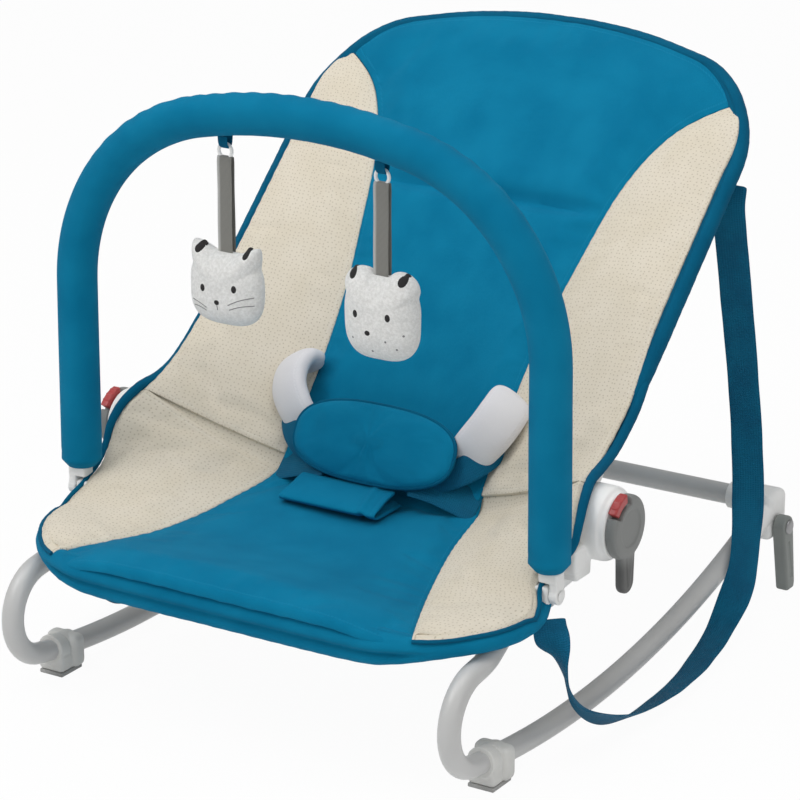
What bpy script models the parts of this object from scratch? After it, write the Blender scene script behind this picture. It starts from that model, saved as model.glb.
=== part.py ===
# Baby bouncer on bent steel tubes, with a reclining padded seat and a toy bar.
# Metres, +Z up. X runs across the seat and +Y towards the back. Everything is built for the
# right side (+X) and mirrored where the real object has a left twin. The numbers below are
# read from a drawing whose zero is DRAWING_ZERO; the finished part has its origin on the
# floor in the middle of its own outline.
import math

import bmesh
import bpy
from mathutils import Matrix, Vector

# Driving dimensions, in metres and degrees
DRAWING_ZERO = (0.0, 0.0015, 0.0065)
FLOOR = DRAWING_ZERO[2]
FRAME_TUBE_R = 0.0090          # rocker tubes and rear crossbar
SEAT_TUBE_R = 0.0060           # tubes hidden in the edge of the cover
TUBE_WALL = 0.0012
GAP = 0.0003                   # air left between pieces that touch
SIDE_X = 0.2050                # middle of each rocker tube
ARM_END = (0.2020, -0.0840, 0.1420)      # the same tube where it ends in the hub
ARM_UNDER = (0.1960, -0.1150, 0.1325)    # and where it passes under the seat
ARM_LOW = (0.1960, -0.1650, 0.1225)

HUB_Y, HUB_Z = -0.0680, 0.1780  # recline axis
BACK_ANGLE = 42.6              # backrest above the floor as photographed
LEVER_TIP_Z = 0.1230           # lowest point of the recline levers
BACK_LIFT = 0.0030             # backrest tube above the line through the axis
BACK_HALF = 0.2060             # backrest tube, middle of its straight side
BACK_CORNER_S = 0.400          # where the side line and the top line would meet
BACK_TOP_S = 0.457

ROCKER_LOW_Y, ROCKER_LOW_Z = -0.0800, 0.0185
ROCKER_R = 0.950
FRONT_BEND_R = 0.0382
FRONT_BEND_Y = -0.2690         # foremost point of the tube's middle line
UPPER_RUN_RISE = 7.0           # slope of the run from the front bend back to the hub
REAR_END_Y = 0.2505

CROSSBAR_Y, CROSSBAR_Z = 0.2680, 0.0830
CROSSBAR_END_X = 0.1925
FOOT_PIVOT_Y, FOOT_PIVOT_Z = 0.2590, 0.0680

FRONT_FOOT_Y = (-0.2235, -0.1940)
SEAT_FRONT_Y = -0.2625
SEAT_FRONT_Z = 0.1245
SEAT_SIDE_X = 0.2195
FRONT_ROLL_R = 0.0112          # padded roll on the front of the seat tube
SLEEVE_R = 0.0078
SLEEVE_BORE = SEAT_TUBE_R + 0.0004

TOY_BAR_Y = -0.1500
TOY_BAR_R = 0.0166
TOY_BAR_X = 0.2215
TOY_BAR_FOOT_Z = 0.1655
TOY_HINGE_Z = 0.1460
TOY_X = 0.0720                 # each toy hangs this far from the middle
TOY_HINGE_TOP_Z = 0.4590

TUBE_SIDES = 10
COVER_TUBE_SIDES = 8
ROUND_SIDES = 22
PIN_SIDES = 12


def clear_scene():
    for obj in list(bpy.data.objects):
        bpy.data.objects.remove(obj, do_unlink=True)


def make_material(name, colour, roughness, metallic=0.0):
    material = bpy.data.materials.new(name)
    material.use_nodes = True
    shader = material.node_tree.nodes["Principled BSDF"]
    shader.inputs["Base Color"].default_value = (*colour, 1.0)
    shader.inputs["Roughness"].default_value = roughness
    shader.inputs["Metallic"].default_value = metallic
    return material


def make_materials():
    return {
        "frame_paint": make_material("frame_paint", (0.52, 0.52, 0.50), 0.35, 0.3),
        "white_plastic": make_material("white_plastic", (0.80, 0.80, 0.79), 0.4),
        "grey_plastic": make_material("grey_plastic", (0.17, 0.18, 0.17), 0.5),
        "foot_plastic": make_material("foot_plastic", (0.48, 0.48, 0.46), 0.5),
        "red_plastic": make_material("red_plastic", (0.40, 0.05, 0.05), 0.4),
        "rubber": make_material("rubber", (0.05, 0.05, 0.05), 0.8),
        "zinc_steel": make_material("zinc_steel", (0.60, 0.60, 0.62), 0.3, 0.9),
        "blue_fabric": make_material("blue_fabric", (0.006, 0.16, 0.30), 0.85),
        "blue_trim": make_material("blue_trim", (0.004, 0.08, 0.15), 0.85),
        "beige_fabric": make_material("beige_fabric", (0.74, 0.67, 0.55), 0.9),
        "white_fabric": make_material("white_fabric", (0.80, 0.80, 0.84), 0.9),
        "plush": make_material("plush", (0.80, 0.79, 0.76), 1.0),
        "ribbon": make_material("ribbon", (0.22, 0.22, 0.21), 0.8),
    }


# Paths

def bent_path(corners, radii, step=22.0, reach_each=0.060):
    """Points along straight runs joined by arcs; radii holds one value per inner corner."""
    points = [Vector(corners[0])]
    for i in range(1, len(corners) - 1):
        here = Vector(corners[i])
        before = (Vector(corners[i - 1]) - here).normalized()
        after = (Vector(corners[i + 1]) - here).normalized()
        turn = math.pi - before.angle(after)
        reach = radii[i - 1] * math.tan(turn / 2)
        middle = (before + after).normalized()
        centre = here + middle * math.hypot(radii[i - 1], reach)
        start = here + before * reach - centre
        axis = start.cross(here + after * reach - centre).normalized()
        count = max(2, round(math.degrees(turn) / step), round(turn * radii[i - 1] / reach_each))
        for k in range(count + 1):
            points.append(centre + Matrix.Rotation(turn * k / count, 3, axis) @ start)
    points.append(Vector(corners[-1]))
    return points


def frames_along(points, first_side):
    """A side and an up direction at every point, carried along without twist."""
    tangents = []
    for i in range(len(points)):
        ahead = points[min(i + 1, len(points) - 1)] - points[i]
        behind = points[i] - points[max(i - 1, 0)]
        tangents.append((ahead.normalized() + behind.normalized()).normalized())
    side = Vector(first_side)
    frames = []
    for tangent in tangents:
        side = (side - tangent * side.dot(tangent)).normalized()
        frames.append((side.copy(), tangent.cross(side).normalized()))
    return frames


def table(value, rows):
    """Straight-line reading of a short list of (position, value) pairs."""
    if value <= rows[0][0]:
        return rows[0][1]
    for (a, va), (b, vb) in zip(rows, rows[1:]):
        if value <= b:
            return va + (vb - va) * (value - a) / (b - a)
    return rows[-1][1]


def smooth_route(route, pieces):
    """A smooth curve through every point of a hand-chosen route."""
    points = [Vector(p) for p in route]
    ends = [points[0] * 2 - points[1], *points, points[-1] * 2 - points[-2]]
    result = []
    for i in range(1, len(ends) - 2):
        a, b, c, d = ends[i - 1:i + 3]
        for k in range(pieces):
            t = k / pieces
            result.append(0.5 * (2 * b + (c - a) * t + (2 * a - 5 * b + 4 * c - d) * t * t
                                 + (3 * b - a - 3 * c + d) * t ** 3))
    result.append(points[-1])
    return result


# Meshes

def add_ring(bm, centre, side, up, radius, sides):
    ring = []
    for k in range(sides):
        angle = 2 * math.pi * (k + 0.5) / sides
        ring.append(bm.verts.new(centre + side * (radius * math.cos(angle))
                                 + up * (radius * math.sin(angle))))
    return ring


def skin(bm, rings, inward=False):
    for a, b in zip(rings, rings[1:]):
        for k in range(len(a)):
            m = (k + 1) % len(a)
            corners = (a[k], a[m], b[m], b[k])
            bm.faces.new(corners[::-1] if inward else corners)


def tube(points, frames, radius, bore=0.0, sides=TUBE_SIDES, span=None):
    """A swept round bar, or a pipe when it has a bore. radius may be a function of the index."""
    bm = bmesh.new()
    first, last = span or (0, len(points) - 1)
    outer, inner = [], []
    for i in range(first, last + 1):
        size = radius(i) if callable(radius) else radius
        outer.append(add_ring(bm, points[i], *frames[i], size, sides))
        if bore:
            inner.append(add_ring(bm, points[i], *frames[i], bore, sides))
    skin(bm, outer)
    if bore:
        skin(bm, inner, inward=True)
        for k in range(sides):
            m = (k + 1) % sides
            bm.faces.new((outer[0][m], outer[0][k], inner[0][k], inner[0][m]))
            bm.faces.new((outer[-1][k], outer[-1][m], inner[-1][m], inner[-1][k]))
    else:
        bm.faces.new(outer[0][::-1])
        bm.faces.new(outer[-1])
    return bm


def turned(profile, centre, axis="X", sides=ROUND_SIDES):
    """A solid turned about an axis through centre; profile is (along, radius) pairs."""
    along = Vector((1, 0, 0)) if axis == "X" else Vector((0, 0, 1))
    side = Vector((0, 1, 0)) if axis == "X" else Vector((1, 0, 0))
    up = along.cross(side)
    bm = bmesh.new()
    rings = [add_ring(bm, Vector(centre) + along * a, side, up, r, sides) for a, r in profile]
    skin(bm, rings)
    bm.faces.new(rings[0][::-1])
    bm.faces.new(rings[-1])
    return bm


def block(low, high, bevel=0.0, segments=2):
    bm = bmesh.new()
    bmesh.ops.create_cube(bm, size=1.0)
    size = Vector(high) - Vector(low)
    bmesh.ops.scale(bm, vec=size, verts=bm.verts)
    bmesh.ops.translate(bm, vec=(Vector(low) + Vector(high)) / 2, verts=bm.verts)
    if bevel:
        bmesh.ops.bevel(bm, geom=bm.edges[:], offset=bevel, segments=segments,
                        profile=0.5, affect="EDGES")
    return bm


def plate_x(outline, x_low, x_high, bevel=0.0):
    """A flat plate: an outline in (y, z), counter-clockwise seen from +X, thick along X."""
    bm = bmesh.new()
    near = [bm.verts.new((x_low, y, z)) for y, z in outline]
    far = [bm.verts.new((x_high, y, z)) for y, z in outline]
    bm.faces.new(near[::-1])
    bm.faces.new(far)
    skin(bm, [near, far])
    if bevel:
        rims = [e for e in bm.edges if abs(e.verts[0].co.x - e.verts[1].co.x) < 1e-7]
        bmesh.ops.bevel(bm, geom=rims, offset=bevel, segments=1, affect="EDGES")
    return bm


def padded_sheet(top, bottom, across, along):
    """A closed pad between two surfaces, each a function of (u, v) from 0 to 1."""
    bm = bmesh.new()
    grids = []
    for surface in (top, bottom):
        grids.append([[bm.verts.new(surface(i / across, j / along))
                       for i in range(across + 1)] for j in range(along + 1)])
    upper, lower = grids
    for j in range(along):
        for i in range(across):
            bm.faces.new((upper[j][i], upper[j][i + 1], upper[j + 1][i + 1], upper[j + 1][i]))
            bm.faces.new((lower[j][i], lower[j + 1][i], lower[j + 1][i + 1], lower[j][i + 1]))
    rim = ([(0, i) for i in range(across)] + [(j, across) for j in range(along)]
           + [(along, i) for i in range(across, 0, -1)] + [(j, 0) for j in range(along, 0, -1)])
    for (j, i), (jn, i_next) in zip(rim, rim[1:] + rim[:1]):
        bm.faces.new((upper[j][i], lower[j][i], lower[jn][i_next], upper[jn][i_next]))
    return bm


def pillow(outline, thickness, levels=(0.95, 0.78, 0.45)):
    """A stuffed flat shape: outline in (x, z) about its own middle, plump towards +Y and -Y."""
    bm = bmesh.new()
    rim = [bm.verts.new((x, 0, z)) for x, z in outline]
    for face in (-1, 1):
        rings = [rim]
        for level in levels:
            plump = face * thickness / 2 * (1 - level ** 2.6) ** 0.5
            rings.append([bm.verts.new((x * level, plump, z * level)) for x, z in outline])
        skin(bm, rings, inward=face > 0)
        tip = bm.verts.new((0, face * thickness / 2, 0))
        last = rings[-1]
        for k in range(len(last)):
            m = (k + 1) % len(last)
            corners = (last[k], last[m], tip)
            bm.faces.new(corners[::-1] if face > 0 else corners)
    return bm


def mirrored(bm):
    bmesh.ops.scale(bm, vec=(-1, 1, 1), verts=bm.verts)
    bmesh.ops.reverse_faces(bm, faces=bm.faces)
    return bm


# Objects

class Builder:
    """Adds pieces to the scene under the empty of the body that carries them."""

    def __init__(self):
        self.materials = make_materials()
        self.empties = {}

    def body(self, name, origin=DRAWING_ZERO):
        empty = bpy.data.objects.new(name, None)
        empty.empty_display_size = 0.02
        empty.location = Vector(origin) - Vector(DRAWING_ZERO)
        bpy.context.scene.collection.objects.link(empty)
        self.empties[name] = empty

    def piece(self, name, bm, material, body, smooth=35.0):
        empty = self.empties[body]
        bmesh.ops.translate(bm, vec=-empty.location - Vector(DRAWING_ZERO), verts=bm.verts)
        bm.normal_update()
        mesh = bpy.data.meshes.new(name)
        bm.to_mesh(mesh)
        bm.free()
        mesh.shade_smooth()
        mesh.set_sharp_from_angle(angle=math.radians(smooth))
        mesh.materials.append(self.materials[material])
        obj = bpy.data.objects.new(name, mesh)
        obj.parent = empty
        bpy.context.scene.collection.objects.link(obj)
        return obj

    def tool(self, name, bm, body):
        obj = self.piece(name, bm, "zinc_steel", body)
        obj.hide_render = True
        obj.display_type = "WIRE"
        return obj

    def combine(self, obj, name, bm, body, operation):
        modifier = obj.modifiers.new(name, "BOOLEAN")
        modifier.operation = operation
        modifier.solver = "EXACT"
        modifier.object = self.tool(obj.name + "_" + name, bm, body)

    def join(self, obj, name, bm, body):
        self.combine(obj, name, bm, body, "UNION")

    def cut(self, obj, name, bm, body):
        self.combine(obj, name, bm, body, "DIFFERENCE")


def sides():
    return (("right", False), ("left", True))


def sided(bm, flip):
    return mirrored(bm) if flip else bm


def handed(point, flip):
    return (-point[0], point[1], point[2]) if flip else tuple(point)


# The side frames: one bent tube each, from the hub round the front to the rear corner

def rocker_z(y):
    return ROCKER_LOW_Z + ROCKER_R - math.sqrt(ROCKER_R ** 2 - (y - ROCKER_LOW_Y) ** 2)


def front_bend_centre():
    """The front bend sits inside the rocker's large circle and touches it."""
    y = FRONT_BEND_Y + FRONT_BEND_R
    drop = math.sqrt((ROCKER_R - FRONT_BEND_R) ** 2 - (y - ROCKER_LOW_Y) ** 2)
    return y, ROCKER_LOW_Z + ROCKER_R - drop


def side_tube_path():
    bend_y, bend_z = front_bend_centre()
    rise = math.radians(UPPER_RUN_RISE)
    start = Vector((SIDE_X, bend_y - FRONT_BEND_R * math.sin(rise), bend_z + FRONT_BEND_R * math.cos(rise)))
    along = Vector((0, math.cos(rise), math.sin(rise)))
    arm = bent_path([ARM_END, ARM_UNDER, ARM_LOW, start + along * 0.020, start + along * 0.004],
                    [0.045, 0.080, 0.100])
    touch = math.atan2(bend_z - (ROCKER_LOW_Z + ROCKER_R), bend_y - ROCKER_LOW_Y)
    touch = touch if touch > 0 else touch + 2 * math.pi
    bend = []
    steps = 9
    for k in range(steps + 1):
        angle = math.pi / 2 + rise + (touch - math.pi / 2 - rise) * k / steps
        bend.append(Vector((SIDE_X, bend_y + FRONT_BEND_R * math.cos(angle),
                            bend_z + FRONT_BEND_R * math.sin(angle))))
    start = bend[-1].y
    rocker = []
    steps = 6
    for k in range(1, steps + 1):
        y = start + (REAR_END_Y - start) * k / steps
        rocker.append(Vector((SIDE_X, y, rocker_z(y))))
    return arm + bend + rocker


def add_side_frames(build):
    points = side_tube_path()
    frames = frames_along(points, (1, 0, 0))
    for name, flip in sides():
        pipe = tube(points, frames, FRAME_TUBE_R, FRAME_TUBE_R - TUBE_WALL)
        build.piece("side_tube_" + name, sided(pipe, flip), "frame_paint", "base")
    end = CROSSBAR_END_X
    bar = [Vector((-end, CROSSBAR_Y, CROSSBAR_Z)), Vector((end, CROSSBAR_Y, CROSSBAR_Z))]
    bm = tube(bar, frames_along(bar, (0, 1, 0)), FRAME_TUBE_R, FRAME_TUBE_R - TUBE_WALL)
    build.piece("rear_crossbar", bm, "frame_paint", "base")
    return points, frames


def bore_along(points, frames, span, radius, before=0.0, after=0.0, sides=TUBE_SIDES):
    """A cutter that follows a tube and runs on past either end."""
    first, last = span
    run, run_frames = list(points[first:last + 1]), list(frames[first:last + 1])
    if before:
        run.insert(0, run[0] + (run[0] - run[1]).normalized() * before)
        run_frames.insert(0, run_frames[0])
    if after:
        run.append(run[-1] + (run[-1] - run[-2]).normalized() * after)
        run_frames.append(run_frames[-1])
    return tube(run, run_frames, radius, sides=sides)


def add_rear_corners(build, points, frames):
    """A moulded corner joins each rocker tube to the crossbar."""
    last = len(points) - 1
    for name, flip in sides():
        shell = block((0.1900, 0.2480, 0.0540), (0.2165, 0.2810, 0.0955), 0.0060, 2)
        obj = build.piece("rear_corner_" + name, sided(shell, flip), "white_plastic", "base")
        bar = [Vector((0.1680, CROSSBAR_Y, CROSSBAR_Z)), Vector((0.1960, CROSSBAR_Y, CROSSBAR_Z))]
        bar_frames = frames_along(bar, (0, 1, 0))
        collar = tube(bar, bar_frames, 0.0118, sides=14)
        build.join(obj, "bar_collar", sided(collar, flip), "base")
        run = [points[last] + (points[last - 1] - points[last]).normalized() * reach
               for reach in (0.024, -0.004)]
        collar = tube(run, frames_along(run, (1, 0, 0)), 0.0118, sides=14)
        build.join(obj, "tube_collar", sided(collar, flip), "base")
        wide = FRAME_TUBE_R + GAP * 1.3
        run = [bar[0] - Vector((0.01, 0, 0)), Vector((CROSSBAR_END_X + GAP, CROSSBAR_Y, CROSSBAR_Z))]
        build.cut(obj, "bar_bore", sided(tube(run, frames_along(run, (0, 1, 0)), wide), flip), "base")
        bore = bore_along(points, frames, (last - 1, last), wide, after=GAP)
        build.cut(obj, "tube_bore", sided(bore, flip), "base")
        pin = turned([(0.2080, 0.0043), (0.2180, 0.0043)], (0, FOOT_PIVOT_Y, FOOT_PIVOT_Z), sides=PIN_SIDES)
        build.cut(obj, "pin_hole", sided(pin, flip), "base")


def add_front_feet(build, points, frames):
    """A moulded cuff on the low front bend of each tube, on a rubber pad."""
    low, high = FRONT_FOOT_Y
    near = [i for i, p in enumerate(points) if p.x < SIDE_X + 0.001 and p.z < 0.06 and p.y < -0.15]
    for name, flip in sides():
        cuff = block((SIDE_X - 0.0120, low, FLOOR + 0.0036), (SIDE_X + 0.0120, high - 0.004, 0.0265),
                     0.0035, 1)
        obj = build.piece("front_foot_" + name, sided(cuff, flip), "foot_plastic", "base")
        crown = [Vector((SIDE_X, y, rocker_z(y))) for y in (low + 0.0010, high - 0.0040)]
        crown = tube(crown, frames_along(crown, (1, 0, 0)), 0.0120, sides=14)
        build.join(obj, "crown", sided(crown, flip), "base")
        flange = block((SIDE_X - 0.0160, high - 0.0150, FLOOR + 0.0034),
                       (SIDE_X + 0.0160, high, rocker_z(high) + 0.0125), 0.0050, 2)
        build.join(obj, "flange", sided(flange, flip), "base")
        bore = bore_along(points, frames, (near[0], near[-1]), FRAME_TUBE_R + GAP * 1.3)
        build.cut(obj, "tube_bore", sided(bore, flip), "base")
        pad = block((SIDE_X - 0.0115, low + 0.001, FLOOR), (SIDE_X + 0.0115, high - 0.001, FLOOR + 0.0030),
                    0.0008, 1)
        build.piece("front_foot_pad_" + name, sided(pad, flip), "rubber", "base")


def add_rear_feet(build):
    """A lever on the outside of each rear corner: down to stand, turned up to rock."""
    outline = []
    head = 0.0095
    toe_front, toe_rear = FOOT_PIVOT_Y - 0.0010, FOOT_PIVOT_Y + 0.0160
    for k in range(9):
        angle = math.pi * (1.0 - k / 8) + math.radians(8)
        outline.append((FOOT_PIVOT_Y + head * math.cos(angle), FOOT_PIVOT_Z + head * math.sin(angle)))
    outline += [(toe_rear + 0.0005, FLOOR + 0.0060), (toe_rear - 0.0010, FLOOR),
                (toe_front + 0.0015, FLOOR), (toe_front, FLOOR + 0.0060)]
    outline.reverse()
    for name, flip in sides():
        body = "rear_foot_" + name
        build.body(body + "_axis", handed((0.2230, FOOT_PIVOT_Y, FOOT_PIVOT_Z), flip))
        lever = plate_x(outline, 0.2170, 0.2290, 0.0015)
        obj = build.piece(body, sided(lever, flip), "grey_plastic", body + "_axis")
        hole = turned([(0.2160, 0.0043), (0.2300, 0.0043)], (0, FOOT_PIVOT_Y, FOOT_PIVOT_Z),
                      sides=PIN_SIDES)
        build.cut(obj, "pin_hole", sided(hole, flip), body + "_axis")
        pin = turned([(0.2085, 0.0040), (0.2293, 0.0040), (0.2293, 0.0065), (0.2305, 0.0060),
                      (0.2312, 0.0045)], (0, FOOT_PIVOT_Y, FOOT_PIVOT_Z), sides=PIN_SIDES)
        build.piece("rear_foot_pin_" + name, sided(pin, flip), "zinc_steel", "base")


# The backrest lies in a plane through the recline axis

def back_point(x, s, n):
    """A point x across, s up the backrest from the axis and n out of it towards the baby."""
    angle = math.radians(BACK_ANGLE)
    return Vector((x, HUB_Y + s * math.cos(angle) - n * math.sin(angle),
                   HUB_Z + s * math.sin(angle) + n * math.cos(angle)))


def back_tube_path():
    half = [(0.1985, 0.016), (0.1985, 0.055), (BACK_HALF, 0.130), (BACK_HALF, BACK_CORNER_S)]
    corners = half + [(0.0, BACK_TOP_S)] + [(-x, s) for x, s in half[::-1]]
    radii = [0.12, 0.12, 0.092, 0.40, 0.092, 0.12, 0.12]
    flat = bent_path([(x, s, 0) for x, s in corners], radii)
    return [back_point(p.x, p.y, BACK_LIFT) for p in flat], flat


def seat_tube_path():
    half = [(0.2015, -0.0960, 0.1615), (0.2110, -0.1400, 0.1445), (SEAT_SIDE_X, -0.1600, 0.1300),
            (SEAT_SIDE_X, SEAT_FRONT_Y, SEAT_FRONT_Z)]
    corners = half + [(-x, y, z) for x, y, z in half[::-1]]
    return bent_path(corners, [0.06, 0.036, 0.088, 0.088, 0.036, 0.06])


def span_where(points, test):
    hits = [i for i, p in enumerate(points) if test(p)]
    return hits[0], hits[-1]


def add_cover_tubes(build):
    back, flat = back_tube_path()
    back_frames = frames_along(back, back_point(0, 0, 1) - back_point(0, 0, 0))
    bore = SEAT_TUBE_R - TUBE_WALL
    round_sides = COVER_TUBE_SIDES
    pipe = tube(back, back_frames, SEAT_TUBE_R, bore, round_sides)
    build.piece("back_tube", pipe, "frame_paint", "backrest")
    span = span_where(flat, lambda p: p.y > 0.052)
    sleeve = tube(back, back_frames, SLEEVE_R, SLEEVE_BORE, round_sides, span)
    build.piece("back_sleeve", sleeve, "blue_trim", "backrest")
    seat = seat_tube_path()
    seat_frames = frames_along(seat, (0, 0, 1))
    build.piece("seat_tube", tube(seat, seat_frames, SEAT_TUBE_R, bore, round_sides), "frame_paint", "base")

    def roll(i):
        return table(abs(seat[i].x), [(0.125, FRONT_ROLL_R), (0.178, SLEEVE_R + 0.002),
                                      (0.195, SLEEVE_R)])
    span = span_where(seat, lambda p: p.y < -0.1150)
    sleeve = tube(seat, seat_frames, roll, SLEEVE_BORE, round_sides, span)
    build.piece("seat_sleeve", sleeve, "blue_trim", "base")
    return (back, back_frames), (seat, seat_frames)


# Hubs, axles, recline levers and lock buttons

def add_hubs(build, arm, back, seat):
    arm_points, arm_frames = arm
    back_points, back_frames = back
    seat_points, seat_frames = seat
    axis = (0, HUB_Y, HUB_Z)
    for name, flip in sides():
        plate = turned([(0.2092, 0.0255), (0.2100, 0.0262), (0.2124, 0.0262)], axis)
        obj = build.piece("hub_back_" + name, sided(plate, flip), "white_plastic", "backrest")
        socket_run = [back_point(0.1985, s, BACK_LIFT) for s in (-0.006, 0.000, 0.040, 0.046)]
        size = [0.0060, 0.0086, 0.0086, 0.0078]
        frames = frames_along(socket_run, back_point(0, 0, 1) - back_point(0, 0, 0))
        socket = tube(socket_run, frames, lambda i: size[i], sides=12)
        build.join(obj, "socket", sided(socket, flip), "backrest")
        web = turned([(0.1985, 0.0085), (0.2096, 0.0105)], axis, sides=16)
        build.join(obj, "web", sided(web, flip), "backrest")
        bore = bore_along(back_points, back_frames, (0, 2), SLEEVE_BORE, GAP, 0.02, COVER_TUBE_SIDES)
        build.cut(obj, "tube_bore", sided(bore, flip), "backrest")
        hole = turned([(0.2030, 0.0043), (0.2150, 0.0043)], axis, sides=PIN_SIDES)
        build.cut(obj, "axle_hole", sided(hole, flip), "backrest")

        shell = turned([(0.2128, 0.0300), (0.2290, 0.0300), (0.2325, 0.0285), (0.2340, 0.0255)], axis)
        obj = build.piece("hub_base_" + name, sided(shell, flip), "white_plastic", "base")
        arm_run = [arm_points[0] + (arm_points[0] - arm_points[1]).normalized() * 0.003,
                   arm_points[0] + (arm_points[1] - arm_points[0]).normalized() * 0.0250]
        socket = tube(arm_run, frames_along(arm_run, (1, 0, 0)), 0.0106, sides=16)
        build.join(obj, "arm_socket", sided(socket, flip), "base")
        ahead = (seat_points[1] - seat_points[0]).normalized()
        seat_run = [seat_points[0] - ahead * 0.002, seat_points[0] + ahead * 0.0190]
        socket = tube(seat_run, frames_along(seat_run, (0, 0, 1)), 0.0084, sides=12)
        build.join(obj, "seat_socket", sided(socket, flip), "base")
        web = block((0.2045, -0.1120, 0.1470), (0.2235, -0.0955, 0.1680), 0.0020, 1)
        build.join(obj, "seat_web", sided(web, flip), "base")
        web = block((0.2045, -0.1080, 0.1400), (0.2225, -0.0840, 0.1555), 0.0020, 1)
        build.join(obj, "arm_web", sided(web, flip), "base")
        web = block((0.2130, -0.1100, 0.1515), (0.2230, -0.0800, 0.1685), 0.0020, 1)
        build.join(obj, "shell_web", sided(web, flip), "base")
        wide = FRAME_TUBE_R + GAP * 1.3
        bore = bore_along(arm_points, arm_frames, (0, 2), wide, GAP, 0.01)
        build.cut(obj, "arm_bore", sided(bore, flip), "base")
        bore = bore_along(seat_points, seat_frames, (0, 1), SLEEVE_BORE, GAP, 0.005, COVER_TUBE_SIDES)
        build.cut(obj, "seat_bore", sided(bore, flip), "base")
        hole = turned([(0.2100, 0.0043), (0.2360, 0.0043)], axis, sides=PIN_SIDES)
        build.cut(obj, "axle_hole", sided(hole, flip), "base")

        axle = turned([(0.2040, 0.0040), (0.2460, 0.0040)], axis, sides=PIN_SIDES)
        build.piece("hub_axle_" + name, sided(axle, flip), "zinc_steel", "base")
        add_lever(build, name, flip)


def arc_outline(inner, outer, start, end, steps):
    ring = []
    for radius, angles in ((outer, (start, end)), (inner, (end, start))):
        for k in range(steps + 1):
            angle = math.radians(angles[0] + (angles[1] - angles[0]) * k / steps)
            ring.append((HUB_Y + radius * math.cos(angle), HUB_Z + radius * math.sin(angle)))
    return ring


def add_lever(build, name, flip):
    """The grey recline lever outside the hub, with a red lock button in its rim."""
    body = "recline_lever_" + name
    build.body(body + "_axis", handed((0.2410, HUB_Y, HUB_Z), flip))
    disc = turned([(0.2345, 0.0250), (0.2355, 0.0260), (0.2450, 0.0260), (0.2475, 0.0235)],
                  (0, HUB_Y, HUB_Z))
    obj = build.piece(body, sided(disc, flip), "grey_plastic", body + "_axis")
    tip = 0.0095
    outline = [(HUB_Y - 0.0105, HUB_Z - 0.018), (HUB_Y - tip, LEVER_TIP_Z + 0.0060)]
    outline += [(HUB_Y - tip * math.cos(a), LEVER_TIP_Z + 0.0065 * (1 - math.sin(a)))
                for a in (math.radians(d) for d in (30, 60, 90, 120, 150))]
    outline += [(HUB_Y + tip, LEVER_TIP_Z + 0.0060), (HUB_Y + 0.0105, HUB_Z - 0.018)]
    paddle = plate_x(outline, 0.2378, 0.2462, 0.0018)
    build.join(obj, "paddle", sided(paddle, flip), body + "_axis")
    notch = plate_x(arc_outline(0.0186, 0.0320, 88, 148, 6), 0.2330, 0.2490)
    build.cut(obj, "button_notch", sided(notch, flip), body + "_axis")
    hole = turned([(0.2330, 0.0043), (0.2465, 0.0043)], (0, HUB_Y, HUB_Z), sides=PIN_SIDES)
    build.cut(obj, "axle_hole", sided(hole, flip), body + "_axis")
    middle = math.radians(118)
    build.body("lock_button_%s_axis" % name,
               handed((0.2410, HUB_Y + 0.026 * math.cos(middle), HUB_Z + 0.026 * math.sin(middle)), flip))
    button = plate_x(arc_outline(0.0216, 0.0292, 96, 140, 6), 0.2352, 0.2462, 0.0010)
    build.piece("lock_button_" + name, sided(button, flip), "red_plastic", "lock_button_%s_axis" % name)


# The cover: blue middle and beige sides, on the backrest and on the seat

SEAM_X = [(0.006, 0.0950), (0.100, 0.0935), (0.170, 0.0980), (0.225, 0.1070), (0.280, 0.1210),
          (0.312, 0.1330), (0.338, 0.1480), (0.355, 0.1630), (0.368, 0.1820)]
SEAM_N = [(0.006, -0.0265), (0.100, -0.0140), (0.170, -0.0050), (0.255, 0.0060), (0.330, 0.0110),
          (0.368, 0.0090)]
SEAM_TIP_S = 0.368
BACK_FOOT_S = 0.0080
BACK_GROOVE_S = 0.2690


def back_opening():
    """The clear outline inside the back sleeve, as (x, s) points from the hub to the middle."""
    _, flat = back_tube_path()
    inside = SLEEVE_R + 0.0009
    result = []
    for i in range(1, len(flat) // 2 + 1):
        ahead = (flat[i + 1] - flat[i - 1]).normalized()
        result.append((flat[i].x - ahead.y * inside, flat[i].y + ahead.x * inside))
    return result


def groove(s, middle, width, depth):
    return -depth * math.exp(-((s - middle) / width) ** 2)


def back_centre(x, s, edge):
    """Middle of the pad's thickness and half that thickness; edge is 0 in the middle, 1 at a seam."""
    hollow = table(s, [(0.02, 0.0075), (0.15, 0.0080), (0.30, 0.0040), (0.40, -0.0020)])
    top = table(s, SEAM_N) - hollow * (1 - edge ** 2)
    crown = table(edge, [(0.0, 0.0), (0.7, -0.0008), (1.0, -0.0032)])
    return top + crown + groove(s, BACK_GROOVE_S, 0.010, 0.0055), 0.0100 - 0.0060 * edge ** 3


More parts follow.
